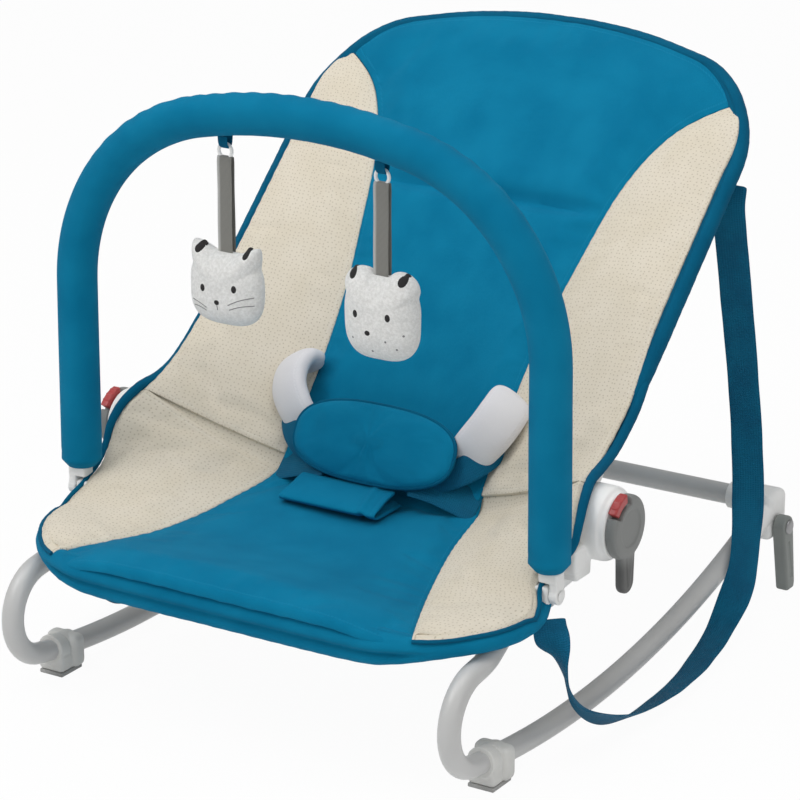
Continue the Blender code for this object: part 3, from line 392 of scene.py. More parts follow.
class Val:   # a socket that takes part in sums
    def __init__(self, look, socket):
        self.look = look
        self.socket = socket

    def calc(self, operation, *others):
        return self.look.add("ShaderNodeMath", {"operation": operation}, (self, *others))

    def __add__(self, other):
        return self.calc("ADD", other)

    def __sub__(self, other):
        return self.calc("SUBTRACT", other)

    def __mul__(self, other):
        return self.calc("MULTIPLY", other)

    def __truediv__(self, other):
        return self.calc("DIVIDE", other)

    def __rsub__(self, other):
        return self.look.add("ShaderNodeMath", {"operation": "SUBTRACT"}, (other, self))

    def __rtruediv__(self, other):
        return self.look.add("ShaderNodeMath", {"operation": "DIVIDE"}, (other, self))

    __radd__ = __add__
    __rmul__ = __mul__

    def band(self, low, high):   # 0 below low, 1 above high, smooth between
        return self.look.add("ShaderNodeMapRange", {"interpolation_type": "SMOOTHSTEP"},
                             {0: self, 1: low, 2: high})


class Look:   # one material, with the nodes that feed its shader
    def __init__(self, name, **fixed):
        self.material = bpy.data.materials.new(name)
        self.material.use_nodes = True
        self.nodes = self.material.node_tree.nodes
        self.shader = self.nodes["Principled BSDF"]
        for key, value in fixed.items():   # sheenWeight stands for Sheen Weight
            title = "".join(" " + c if c.isupper() else c for c in key).title()
            self.shader.inputs[title.replace("Ior", "IOR")].default_value = value

    def feed(self, socket, value):
        if isinstance(value, Val):
            self.material.node_tree.links.new(value.socket, socket)
        else:
            socket.default_value = value

    def add(self, kind, settings=None, values=(), out=0):
        node = self.nodes.new(kind)
        for key, value in (settings or {}).items():
            setattr(node, key, value)
        for key, value in (values.items() if isinstance(values, dict) else enumerate(values)):
            self.feed(node.inputs[key], value)
        return Val(self, node.outputs[out])

    def mix(self, factor, a, b):
        ends = [(*c, 1.0) if isinstance(c, tuple) else c for c in (a, b)]
        return self.add("ShaderNodeMix", {"data_type": "RGBA"}, {0: factor, 6: ends[0], 7: ends[1]}, 2)

    def here(self):
        return self.add("ShaderNodeTexCoord", out=3)

    def cloth(self):   # metres across, metres along, metres to the edge
        spot = self.add("ShaderNodeAttribute", {"attribute_name": "cloth"}, out=1)
        return spot, [self.add("ShaderNodeSeparateXYZ", None, (spot,), k) for k in range(3)]

    def cloud(self, where, scale, detail=3.0, roughness=0.5):
        return self.add("ShaderNodeTexNoise", None,
                        {"Vector": where, "Scale": scale, "Detail": detail, "Roughness": roughness})

    def finish(self, colour, roughness, height):   # height in metres
        bump = self.add("ShaderNodeBump", None, {"Distance": 1.0, "Height": height})
        for socket, value in (("Base Color", colour), ("Roughness", roughness), ("Normal", bump)):
            self.feed(self.shader.inputs[socket], value)
        return self.material


clothLooks = {
    "blue": {"colour": (0.001, 0.174, 0.328), "worn": (0.004, 0.218, 0.39), "thread": 0.00055, "lift": 5e-5},
    "trim": {"colour": (0.001, 0.103, 0.205), "worn": (0.002, 0.132, 0.248), "thread": 0.0007, "lift": 8e-5},
    "beige": {"colour": (0.74, 0.672, 0.545), "worn": (0.79, 0.725, 0.61), "thread": 0.0006, "lift": 0.00004},
    "white": {"colour": (0.8, 0.79, 0.82), "worn": (0.85, 0.845, 0.86), "thread": 0.0006, "lift": 0.00005},
    "dots": {"colour": (0.47, 0.4, 0.3), "pitch": 0.0036, "radius": 0.00055, "jitter": 0.55, "ink": 0.75},
    "stitch": {"inset": 0.0042, "half": 0.00035, "length": 0.0032, "sink": 0.00025},
}


def wovenLook(name, kind, stitched=True, dotted=False):
    values = clothLooks[kind]
    look = Look(name, roughness=0.85, sheenWeight=0.02, sheenRoughness=0.45, specularIorLevel=0.06)
    spot, (across, along, edge) = look.cloth()
    turn = 2 * math.pi / values["thread"]
    warp = (across * turn).calc("SINE")
    weft = (along * turn).calc("SINE")
    weave = warp * weft
    fade = look.cloud(spot, 22.0, 2.0)
    fleck = look.cloud(spot, 1400.0, 1.0)
    colour = look.mix((fade * 0.7 + fleck * 0.3).band(0.3, 0.7), values["colour"], values["worn"])
    colour = look.mix(weave * 0.1 + 0.1, colour, tuple(c * 0.55 for c in values["colour"]))
    if dotted:
        dots = clothLooks["dots"]
        scattered = look.add("ShaderNodeTexVoronoi", {"voronoi_dimensions": "2D"},
                             {"Vector": spot, "Scale": 1 / dots["pitch"], "Randomness": dots["jitter"]})
        ink = 1 - (scattered * dots["pitch"]).band(dots["radius"] * 0.6, dots["radius"] * 1.4)
        colour = look.mix(ink * dots["ink"], colour, dots["colour"])
    height = weave * values["lift"] + look.cloud(spot, 160.0, 3.0) * 0.00025
    if stitched:
        stitch = clothLooks["stitch"]
        line = 1 - (edge - stitch["inset"]).calc("ABSOLUTE").band(stitch["half"], stitch["half"] * 2.2)
        beat = ((across + along) / stitch["length"]).calc("FRACT")
        dash = line * (beat - 0.5).calc("ABSOLUTE").band(0.1, 0.2)
        colour = look.mix(dash * 0.15, colour, tuple(min(1.0, c * 1.5 + 0.02) for c in values["worn"]))
        height = height - line * stitch["sink"] + dash * 0.00018
    return look.finish(colour, fleck * 0.1 + 0.76, height)


def webbingLook():
    values = clothLooks["trim"]
    look = Look("webbing", roughness=0.78, sheenWeight=0.03, sheenRoughness=0.4, specularIorLevel=0.15)
    spot, (across, along, edge) = look.cloth()
    rib = ((along + (across * 900).calc("SINE") * 0.0002) * (2 * math.pi / 0.0016)).calc("SINE")
    cords = (across * (2 * math.pi / 0.0021)).calc("SINE")
    fade = look.cloud(spot, 40.0, 2.0)
    colour = look.mix(fade.band(0.3, 0.7), values["colour"], values["worn"])
    colour = look.mix(rib * 0.12 + 0.12, colour, tuple(c * 0.5 for c in values["colour"]))
    selvedge = 1 - edge.band(0.001, 0.0018)
    height = rib * 0.0001 + cords * 0.00008 + selvedge * 0.0002
    return look.finish(colour, fade * 0.1 + 0.66, height)


def paintLook():
    look = Look("framePaint", coatWeight=0.1, coatRoughness=0.3, metallic=0.06)
    where = look.here()
    orange = look.cloud(where, 900.0, 2.0)
    drift = look.cloud(where, 9.0, 3.0)
    scuff = look.cloud(where, 60.0, 5.0, 0.65).band(0.66, 0.78)
    colour = look.mix(drift.band(0.3, 0.7), (0.54, 0.54, 0.532), (0.59, 0.59, 0.582))
    colour = look.mix(scuff * 0.2, colour, (0.4, 0.4, 0.39))
    return look.finish(colour, drift * 0.08 + 0.38 + scuff * 0.14, orange * 0.00002)


def plasticLook(name, colour, roughness=0.42, grain=0.00004, coat=0.0):
    look = Look(name, coatWeight=coat, coatRoughness=0.25, specularIorLevel=0.45)
    where = look.here()
    spark = look.cloud(where, 2200.0, 2.0)
    drift = look.cloud(where, 30.0, 3.0)
    rub = look.cloud(where, 110.0, 5.0, 0.7).band(0.66, 0.8)
    darker, lighter = tuple(c * 0.94 for c in colour), tuple(min(1, c * 1.04) for c in colour)
    shade = look.mix(drift.band(0.25, 0.75), darker, lighter)
    shade = look.mix(rub * 0.25, shade, tuple(lerp(c, 0.5, 0.3) for c in colour))
    return look.finish(shade, drift * 0.08 + roughness + rub * 0.12, spark * grain)


def leverPaintedShadeLook():   # grey plastic with painted shade: darker towards the paddle, which hangs in shadow below the disc
    look = Look("leverPlasticPaintedShade", specularIorLevel=0.45)
    where = look.here()
    height = look.add("ShaderNodeSeparateXYZ", None, (where,), 2)
    spark = look.cloud(where, 2200.0, 2.0)
    drift = look.cloud(where, 30.0, 3.0)
    # painted shade: the grey darkens from z 0.152 down to 0.136, over the paddle below the disc
    colour = look.mix(height.band(0.136, 0.152), (0.085, 0.086, 0.084), (0.215, 0.222, 0.215))
    return look.finish(look.mix(drift * 0.12, colour, (0.3, 0.3, 0.3)), drift * 0.08 + 0.48, spark * 0.00006)


def steelLook():
    look = Look("zincSteel", metallic=1.0)
    where = look.here()
    brush = look.cloud(where, 700.0, 2.0)
    drift = look.cloud(where, 50.0, 3.0)
    colour = look.mix(drift, (0.24, 0.24, 0.245), (0.34, 0.34, 0.345))
    return look.finish(colour, brush * 0.15 + 0.34, brush * 0.00001)


def plushLook():
    look = Look("plush", roughness=0.95, sheenWeight=0.5, sheenRoughness=0.6)
    where = look.here()
    tuft = look.cloud(where, 420.0, 4.0, 0.7)
    curl = look.cloud(where, 130.0, 3.0)
    colour = look.mix(tuft.band(0.35, 0.7), (0.7, 0.695, 0.67), (0.86, 0.855, 0.835))
    return look.finish(colour, tuft * 0.1 + 0.85, tuft * 0.0007 + curl * 0.0006)


def ribbonLook():
    look = Look("greyRibbon", roughness=0.6, sheenWeight=0.3)
    across, along = look.cloth()[1][:2]
    rib = (along * (2 * math.pi / 0.0009)).calc("SINE")
    colour = look.mix(rib * 0.5 + 0.5, (0.15, 0.148, 0.132), (0.235, 0.232, 0.212))
    colour = look.mix((1 - across.band(-0.0056, -0.0032)) * 0.7, colour, (0.56, 0.56, 0.54))
    return look.finish(colour, rib * 0.05 + 0.55, rib * 0.00006)


looks = {
    "paint": paintLook(),
    "whitePlastic": plasticLook("whitePlastic", (0.9, 0.9, 0.885)),
    "footPlastic": plasticLook("footPlastic", (0.7, 0.7, 0.675), 0.5),
    "greyPlastic": plasticLook("greyPlastic", (0.245, 0.262, 0.25), 0.48, 0.00006),
    # the lever's grey carries painted shade towards its paddle
    "lever": leverPaintedShadeLook(),
    "darkPlastic": plasticLook("darkPlastic", (0.1, 0.1, 0.102), 0.5, 0.00006),
    "redPlastic": plasticLook("redPlastic", (0.42, 0.045, 0.045), 0.38, coat=0.2),
    "rubber": plasticLook("greyRubber", (0.42, 0.42, 0.41), 0.75, 0.0001),
    "steel": steelLook(),
    "blue": wovenLook("blueCloth", "blue"),
    "bluePlain": wovenLook("bluePlainCloth", "blue", stitched=False),
    "trim": wovenLook("blueTrim", "trim", stitched=False),
    "beige": wovenLook("creamDottedCloth", "beige", dotted=True),
    "beigePlain": wovenLook("creamFoldCloth", "beige", stitched=False, dotted=True),
    "white": wovenLook("whitePaddedCloth", "white"),
    "webbing": webbingLook(),
    "plush": plushLook(),
    "ribbon": ribbonLook(),
    "thread": plasticLook("blackThread", (0.02, 0.018, 0.018), 0.8, 0.0002),
    "greyThread": plasticLook("greyThread", (0.2, 0.2, 0.2), 0.8, 0.0002),
}
print("materials made:", len(looks))


# Camera and light, set against the photograph's own viewpoint

view = {"place": (1.3915, -2.238, 1.1183), "azimuth": 32.0, "elevation": 19.0, "lens": 152.27}
light = {"world": 0.42, "floorGlow": 0.96}
lamps = {"keyLamp": ((-0.9, -1.4, 2.2), 1.4, 24.0), "topLamp": ((0.3, -0.2, 2.6), 1.8, 21.0),
         "fillLamp": ((2.0, -1.3, 1.2), 1.6, 6.5)}   # place, size and power


def putUp(name, data, place, ahead):   # a camera or lamp that looks along ahead
    obj = bpy.data.objects.new(name, data)
    obj.location = place
    obj.rotation_mode = "QUATERNION"
    obj.rotation_quaternion = ahead.to_track_quat("-Z", "Y")
    bpy.context.scene.collection.objects.link(obj)
    return obj


def addCamera():
    data = bpy.data.cameras.new("camera")
    data.lens = view["lens"]
    data.sensor_width = 36.0
    data.clip_start = 0.05
    a, e = math.radians(view["azimuth"]), math.radians(view["elevation"])
    back = Vector((math.sin(a) * math.cos(e), -math.cos(a) * math.cos(e), math.sin(e)))
    bpy.context.scene.camera = putUp("camera", data, view["place"], -back)


def addLamps():
    for name, (place, size, power) in lamps.items():
        data = bpy.data.lights.new(name, "AREA")
        data.size = size
        data.energy = power
        putUp(name, data, place, zWay * 0.2 - Vector(place))


def backdropRays(look):   # 1 where the camera or a glossy surface looks straight at it
    camera, glossy, through = [look.add("ShaderNodeLightPath", out="Is " + kind + " Ray")
                               for kind in ("Camera", "Glossy", "Transmission")]
    return camera.calc("MAXIMUM", glossy).calc("MAXIMUM", through)


def addStage():
    floor = Look("floorPaper", roughness=0.9, specularIorLevel=0.1)
    floor.shader.inputs["Base Color"].default_value = (0.86, 0.86, 0.86, 1.0)
    glow = floor.add("ShaderNodeEmission", None, {"Color": (1.0, 1.0, 1.0, 1.0), "Strength": 1.0})
    paper = Val(floor, floor.shader.outputs[0])
    blend = floor.add("ShaderNodeMixShader", None, (backdropRays(floor) * light["floorGlow"], paper, glow))
    floor.feed(floor.nodes["Material Output"].inputs["Surface"], blend)
    bm = newMesh()[0]
    bmesh.ops.create_grid(bm, x_segments=4, y_segments=4, size=3.0)
    ground = addMesh("floor", bm, floor.material)
    ground.data.transform(Matrix.Translation((0, 0, drawingZero.z - 0.0002)))
    world = bpy.data.worlds.new("studio")
    bpy.context.scene.world = world
    world.use_nodes = True
    tree = world.node_tree
    sky = tree.nodes["Background"]
    sky.inputs["Color"].default_value = (1.0, 1.0, 1.0, 1.0)
    path = tree.nodes.new("ShaderNodeLightPath")
    seen = tree.nodes.new("ShaderNodeMath")
    seen.operation = "MAXIMUM"
    tree.links.new(path.outputs["Is Camera Ray"], seen.inputs[0])
    tree.links.new(path.outputs["Is Transmission Ray"], seen.inputs[1])
    strength = tree.nodes.new("ShaderNodeMapRange")
    strength.inputs["To Min"].default_value = light["world"]
    strength.inputs["To Max"].default_value = 1.0
    tree.links.new(seen.outputs[0], strength.inputs["Value"])
    tree.links.new(strength.outputs[0], sky.inputs["Strength"])
    bpy.context.scene.view_settings.view_transform = "Standard"


addCamera()
addStage()
addLamps()
print("camera and studio set")


# The steel frame

rocker = {"lowY": -0.08, "lowZ": 0.0185, "radius": 0.95, "bendR": 0.0382, "bendY": -0.269, "rearY": 0.2505,
          "sideX": 0.205, "rise": 7.0, "barY": 0.268, "barZ": 0.083, "barEnd": 0.1925,
          "arm": [(0.202, -0.084, 0.142), (0.196, -0.115, 0.1325), (0.196, -0.165, 0.1225)]}


def rockerZ(y):
    return rocker["lowZ"] + rocker["radius"] - math.sqrt(rocker["radius"] ** 2 - (y - rocker["lowY"]) ** 2)


def sideTubePath():
    side, bendR = rocker["sideX"], rocker["bendR"]
    bendY = rocker["bendY"] + bendR
    centreZ = rocker["lowZ"] + rocker["radius"]
    bendZ = centreZ - math.sqrt((rocker["radius"] - bendR) ** 2 - (bendY - rocker["lowY"]) ** 2)
    rise = math.radians(rocker["rise"])
    start = Vector((side, bendY - bendR * math.sin(rise), bendZ + bendR * math.cos(rise)))
    along = Vector((0, math.cos(rise), math.sin(rise)))
    arm = bentPath([*rocker["arm"], start + along * 0.02, start + along * 0.004], [0.045, 0.08, 0.1])
    touch = math.degrees(math.atan2(bendZ - centreZ, bendY - rocker["lowY"])) % 360
    bend = [Vector((side, y, z)) for y, z in arc((bendY, bendZ), bendR, 90 + rocker["rise"], touch, 40)]
    start = bend[-1].y
    places = [lerp(start, rocker["rearY"], k / 40) for k in range(1, 41)]
    return arm + bend + [Vector((side, y, rockerZ(y))) for y in places]


def addFrameTubes():
    route = evenly(sideTubePath(), 0.005)
    tube = addMesh("side_tube_right", sweep(route, xWay, frameTubeR, 32), looks["paint"])
    bothSides(tube, "side_tube", "base", "frame_paint", ["side_tube"])
    ends = [Vector((x, rocker["barY"], rocker["barZ"])) for x in (-rocker["barEnd"], rocker["barEnd"])]
    bar = evenly(ends, 0.02)
    tube = addMesh("rear_bar", sweep(bar, yWay, frameTubeR, 32), looks["paint"])
    carry(tube, "base", "frame_paint", "rear_crossbar")


corner = {"low": (0.19, 0.248, 0.054), "high": (0.2165, 0.281, 0.0955), "collar": 0.0118, "pivotY": 0.259,
          "pivotZ": 0.068}


def addRearCorners():
    barY, barZ = rocker["barY"], rocker["barZ"]
    shell = block(corner["low"], corner["high"], 0.0065, 5)
    run = evenly([Vector((0.168, barY, barZ)), Vector((0.196, barY, barZ))], 0.004)
    sleeve = sweep(run, yWay, corner["collar"], 40)
    last = sideTubePath()[-1]
    ahead = Vector((0, 1, (rockerZ(rocker["rearY"]) - rockerZ(rocker["rearY"] - 0.01)) / 0.01)).normalized()
    run = evenly([last - ahead * 0.024, last + ahead * 0.006], 0.004)
    collar = sweep(run, xWay, corner["collar"], 40)
    line = [(0.246, 0.0755), (0.246, 0.0745), (0.283, 0.0745), (0.283, 0.0755)]
    groove = plate(line, 0.2158, 0.2175, 0.0002)
    obj = moulded("rear_corner_right", [shell, sleeve, collar], [groove], looks["whitePlastic"])
    bothSides(obj, "rear_corner", "base", "white_plastic", ["rear_corner"])


frontFoot = {"lowY": -0.2235, "highY": -0.194, "cuff": 0.0125, "crownR": 0.0124, "flange": 0.016,
             "notch": 0.018, "sole": 0.0115, "soleZ": 0.0034, "bar": 0.01, "bars": 4}


def footBlock(half, lowY, highY, lowZ, highZ, bevel, segments):   # a block astride the rocker tube
    side = rocker["sideX"]
    return block((side - half, lowY, lowZ), (side + half, highY, highZ), bevel, segments)


def addFrontFeet():
    low, high, ground = frontFoot["lowY"], frontFoot["highY"], drawingZero.z
    top = ground + frontFoot["soleZ"]
    cuff = footBlock(frontFoot["cuff"], low, high - 0.004, top, 0.0268, 0.0042, 4)
    run = evenly([Vector((rocker["sideX"], y, rockerZ(y))) for y in (low + 0.0006, high - 0.003)], 0.004)
    crown = sweep(run, xWay, frontFoot["crownR"], 40)
    flange = footBlock(frontFoot["flange"], high - 0.015, high, ground + 0.0032, rockerZ(high) + 0.0128,
                       0.0056, 4)
    notch = footBlock(frontFoot["notch"], high - 0.0165, high - 0.0148, 0.009, 0.04, 0.0003, 1)
    obj = moulded("front_foot_right", [cuff, crown, flange], [notch], looks["footPlastic"])
    bothSides(obj, "front_foot", "base", "foot_plastic", ["front_foot"])
    sole = footBlock(frontFoot["sole"], low + 0.001, high - 0.001, ground, top, 0.0009, 3)
    for k in range(frontFoot["bars"]):   # tread bars under the pad
        y = lerp(low + 0.005, high - 0.005, k / (frontFoot["bars"] - 1))
        bar = footBlock(frontFoot["bar"], y - 0.0012, y + 0.0012, ground + 0.0001, ground + 0.001, 0.0003, 1)
        extra = bpy.data.meshes.new("bar")
        bar.to_mesh(extra)
        sole.from_mesh(extra)
        bar.free()
        bpy.data.meshes.remove(extra)
    obj = addMesh("front_sole_right", sole, looks["rubber"])
    bothSides(obj, "front_sole", "base", "rubber", ["front_foot_pad"])


rearFoot = {"head": 0.0095, "inner": 0.217, "outer": 0.229, "toeFront": 0.002, "toeRear": 0.016}


def addRearFeet():
    y, z, ground = corner["pivotY"], corner["pivotZ"], drawingZero.z
    front, rear = y + rearFoot["toeFront"], y + rearFoot["toeRear"]
    outline = arc((y, z), rearFoot["head"], 188, 8, 24)
    outline += [(rear + 0.0005, ground + 0.006)] + arc((rear - 0.003, ground + 0.003), 0.003, 0, -90, 5)
    outline += arc((front + 0.003, ground + 0.003), 0.003, -90, -170, 5)
    lever = plate(outline[::-1], rearFoot["inner"], rearFoot["outer"], 0.0022)
    slim = [(lerp(y, (front + rear) / 2, t) + w * 0.003, lerp(z - 0.014, ground + 0.012, t))
            for t, w in ((0, 1), (0, -1), (1, -1), (1, 1))]
    hollow = plate(slim, rearFoot["outer"] - 0.001, rearFoot["outer"] + 0.001, 0.0002)
    hole = turned([(0.215, 0.0043), (0.231, 0.0043)], (0, y, z), 32)
    obj = moulded("rear_foot_right", [lever], [hollow, hole], looks["greyPlastic"], 0.0006)
    bothSides(obj, "rear_foot", "rear_foot", "grey_plastic", ["rear_foot"], sidedBody=True)
    pin = turned([(0.2085, 0.0038), (0.209, 0.004), (0.2293, 0.004), (0.2294, 0.0066), (0.2304, 0.0062),
                  (0.231, 0.0048), (0.2312, 0.003)], (0, y, z), 40)
    obj = addMesh("rear_foot_pin_right_steel", pin, looks["steel"], 30)
    bothSides(obj, "rear_foot_pin_steel", "base", "zinc_steel", ["rear_foot_pin"])


addFrameTubes()
addRearCorners()
addFrontFeet()
addRearFeet()
print("frame, corners and feet made")


# The tubes inside the cover, and the hubs that they turn on

backFrame = {"half": [(0.1985, 0.016), (0.1985, 0.055), (0.206, 0.13), (0.206, 0.4)], "top": 0.457,
             "radii": [0.12, 0.12, 0.092, 0.4, 0.092, 0.12, 0.12],
             "crest": [(0.0, 0.004), (0.06, 0.0048), (0.12, 0.0062), (0.155, 0.0058), (0.18, 0.0036),
                       (0.196, 0.0014), (0.206, 0.0)]}
seatFrame = {"half": [(0.2015, -0.096, 0.1615), (0.211, -0.14, 0.1445), (0.2195, -0.16, 0.13),
                      (0.2195, -0.2625, 0.1245)], "radii": [0.06, 0.036, 0.088, 0.088, 0.036, 0.06]}


def backPoint(x, s, n):   # x across, s up the backrest from the axis, n out of it towards the child
    return Vector((x, hubAxis.y + s * math.cos(backTilt) - n * math.sin(backTilt),
                   hubAxis.z + s * math.sin(backTilt) + n * math.cos(backTilt)))


backNormal = backPoint(0, 0, 1) - backPoint(0, 0, 0)


def backFlatPath():
    half = backFrame["half"]
    corners = half + [(0.0, backFrame["top"])] + [(-x, s) for x, s in half[::-1]]
    return bentPath([(x, s, 0) for x, s in corners], backFrame["radii"])


def crest(x, s):   # how far the top of the backrest bows out beyond its plain bend
    return read(abs(x), backFrame["crest"]) * smooth((s - 0.36) / 0.04)


def backTubePath(start=0.0):
    flat = [p for p in backFlatPath() if p.y > start]
    return [backPoint(p.x, p.y + crest(p.x, p.y), backLift + 0.5 * crest(p.x, p.y)) for p in flat]


def seatPath():
    half = seatFrame["half"]
    return bentPath(half + [(-x, y, z) for x, y, z in half[::-1]], seatFrame["radii"])


def addCoverTubes():
    route = evenly(backTubePath(), 0.006)
    tube = addMesh("back_frame_tube", sweep(route, backNormal, seatTubeR, 24), looks["paint"])
    carry(tube, "backrest", "frame_paint", "back_tube")
    route = evenly(seatPath(), 0.006)
    tube = addMesh("seat_frame_tube", sweep(route, zWay, seatTubeR, 24), looks["paint"])
    carry(tube, "base", "frame_paint", "seat_tube")


# profiles are (x, radius) pairs about the hub's axis, webs the low and high corners of blocks
hub = {"backDisc": [(0.209, 0.024), (0.21, 0.0262), (0.2124, 0.0262)],
       "backWeb": [(0.1985, 0.0085), (0.2096, 0.0105)],
       "socketRun": (-0.006, 0.0, 0.02, 0.04, 0.046), "socketR": 0.0086, "socketEndR": 0.0068,
       "shell": [(0.2128, 0.03), (0.2285, 0.03), (0.2318, 0.0292), (0.2336, 0.0272), (0.2372, 0.0262),
                 (0.238, 0.0245)],
       "armR": 0.0108, "armReach": (0.003, 0.025), "seatR": 0.0084, "seatReach": (0.002, 0.019),
       "webs": [((0.2045, -0.112, 0.147), (0.2235, -0.0955, 0.168)),
                ((0.2045, -0.108, 0.14), (0.2225, -0.084, 0.1555)),
                ((0.213, -0.11, 0.1515), (0.223, -0.08, 0.1685))],
       "axle": [(0.204, 0.0036), (0.2044, 0.004), (0.2452, 0.004), (0.246, 0.003)]}


def hubSocket(path, reach, firstSide, radius, sides):   # a collar round the start of a tube
    ahead = (path[1] - path[0]).normalized()
    run = evenly([path[0] - ahead * reach[0], path[0] + ahead * reach[1]], 0.004)
    return sweep(run, firstSide, radius, sides)


def addHubs():
    disc = turned(hub["backDisc"], hubAxis, 72)
    run = [backPoint(0.1985, s, backLift) for s in hub["socketRun"]]
    socket = sweep(run, backNormal,
                   lambda run, angle: hub["socketR" if 0.004 < run < 0.048 else "socketEndR"], 32)
    web = turned(hub["backWeb"], hubAxis, 48)
    obj = moulded("hub_back_right", [disc, socket, web], [], looks["whitePlastic"], 0.0007)
    bothSides(obj, "hub_back", "backrest", "white_plastic", ["hub_back"])

    shell = turned(hub["shell"], hubAxis, 96)
    armSocket = hubSocket(sideTubePath(), hub["armReach"], xWay, hub["armR"], 40)
    seatSocket = hubSocket(seatPath(), hub["seatReach"], zWay, hub["seatR"], 32)
    webs = [block(low, high, 0.003, 3) for low, high in hub["webs"]]
    obj = moulded("hub_base_right", [shell, armSocket, seatSocket, *webs], [], looks["whitePlastic"], 0.0008)
    bothSides(obj, "hub_base", "base", "white_plastic", ["hub_base"])
    obj = addMesh("hub_axle_right_steel", turned(hub["axle"], hubAxis, 40), looks["steel"], 30)
    bothSides(obj, "hub_axle_steel", "base", "zinc_steel", ["hub_axle"])


lever = {"tip": 0.0095, "tipZ": 0.123, "paddleX": (0.2388, 0.2466), "ribX": (0.24, 0.2472),
         "disc": [(0.2383, 0.024), (0.2387, 0.0256), (0.2396, 0.026), (0.244, 0.026), (0.2462, 0.0252),
                  (0.2475, 0.0232), (0.2478, 0.02)],
         "notch": (0.0186, 0.032, 88, 148), "button": (0.0212, 0.029, 98, 143), "buttonX": (0.2388, 0.2462),
         "ribs": (108, 120, 132), "ribR": (0.0275, 0.0295)}   # angles in degrees from forward


def ringSector(inner, outer, start, end, count=16):
    axis = (hubAxis.y, hubAxis.z)
    return arc(axis, outer, start, end, count) + arc(axis, inner, end, start, count)


def addLevers():
    disc = turned(lever["disc"], hubAxis, 96)
    y, z, tip = hubAxis.y, hubAxis.z, lever["tip"]
    shoulder = [(y + w, z - 0.016) for w in (-0.0108, 0.0108)]
    outline = shoulder[:1] + arc((y, lever["tipZ"] + tip), tip, 180, 360, 20) + shoulder[1:]
    paddle = plate(outline, *lever["paddleX"], 0.0024)
    spine = arc((y, z - 0.004), 0.017, 250, 290, 8) + arc((y, 0.132), 0.004, 300, 240, 8)
    rib = plate(spine, *lever["ribX"], 0.001)
    notch = plate(ringSector(*lever["notch"]), 0.233, 0.249, 0.0003)
    dish = turned([(0.2468, 0.015), (0.249, 0.0165)], hubAxis, 64)
    hole = turned([(0.236, 0.0043), (0.2465, 0.0043)], hubAxis, 32)
    obj = moulded("recline_lever_right", [disc, paddle, rib], [notch, dish, hole], looks["lever"], 0.0006)
    bothSides(obj, "recline_lever", "recline_lever", "grey_plastic", ["recline_lever"], sidedBody=True)
    button = plate(ringSector(*lever["button"]), *lever["buttonX"], 0.0012)
    ribs = [plate(ringSector(*lever["ribR"], a - 1.6, a + 1.6, 3), 0.2392, 0.2458, 0.0003)
            for a in lever["ribs"]]
    obj = moulded("lock_button_right", [button, *ribs], [], looks["redPlastic"], 0.0005, 0.4, 2)
    bothSides(obj, "lock_button", "lock_button", "red_plastic", ["lock_button"], sidedBody=True)


addCoverTubes()
addHubs()
addLevers()
print("hubs and levers made")


# The cover's bound edge, drawn over the tubes

edging = {"spacing": 0.004, "backFrom": 0.054, "seatFrom": -0.115,
          "roll": [(0.0, 0.0165), (0.1, 0.0163), (0.135, 0.015), (0.155, 0.0122), (0.175, 0.0092),
                   (0.19, 0.0078), (0.2, 0.0076)],
          "drop": [(0.0, 0.0), (0.1, 0.0), (0.15, -0.0008), (0.18, -0.0016), (0.2, -0.0014), (0.2195, 0.0)],
          "groove": 266.0, "grooveWide": 12.0, "grooveDeep": 0.0048}


def gathered(points, base, swell=0.0005, pitch=0.011):
    # cloth round a tube: small gathers, pulled in at both ends
    total = runsOf(points)[-1]

    def radius(run, angle):
        end = smooth(min(run, total - run) / 0.005)
        size = base(run, angle) if callable(base) else base
        c, s = math.cos(angle), math.sin(angle)
        gather = math.sin(run * 2 * math.pi / pitch + 2.2 * rough((run * 14, c, s)))
        slow = rough((run * 40, c * 1.5, s * 1.5))
        return size * (0.86 + 0.14 * end) + swell * (0.35 * gather + 0.9 * slow)
    return radius


def seatEdgePath():   # the middle of the seat's roll, a little above its tube at the corners
    return [p - zWay * read(abs(p.x), edging["drop"]) for p in seatPath() if p.y < edging["seatFrom"]]


def addEdging():
    route = evenly(backTubePath(edging["backFrom"]), edging["spacing"])
    length = runsOf(route)[-1]

    def hem(run, angle):   # slimmer near the hubs, where the binding takes over
        return lerp(0.0066, sleeveR, smooth((min(run, length - run) - 0.02) / 0.09))
    bm = sweep(route, backNormal, gathered(route, hem, 0.0003), 24)
    carry(addMesh("back_edging", bm, looks["trim"], 60), "backrest", "blue_trim", "back_sleeve")
    route = evenly(seatEdgePath(), edging["spacing"])
    runs = runsOf(route)
    last = [0]

    def size(run, angle):   # two lobes with a sewn groove between them, one plain tube at the sides
        while last[0] < len(runs) - 1 and runs[last[0]] < run - 1e-6:
            last[0] += 1
        across = abs(route[last[0]].x)
        off = (math.degrees(angle) - edging["groove"]) / edging["grooveWide"]
        lobes = 1 - smooth((across - 0.15) / 0.03)
        return read(across, edging["roll"]) - lobes * edging["grooveDeep"] * math.exp(-off * off)
    bm = sweep(route, zWay, gathered(route, size, 0.0003, 0.016), 48)
    carry(addMesh("seat_edging", bm, looks["bluePlain"], 75), "base", "blue_trim", "seat_sleeve")


addEdging()


# The padded panels of the cover

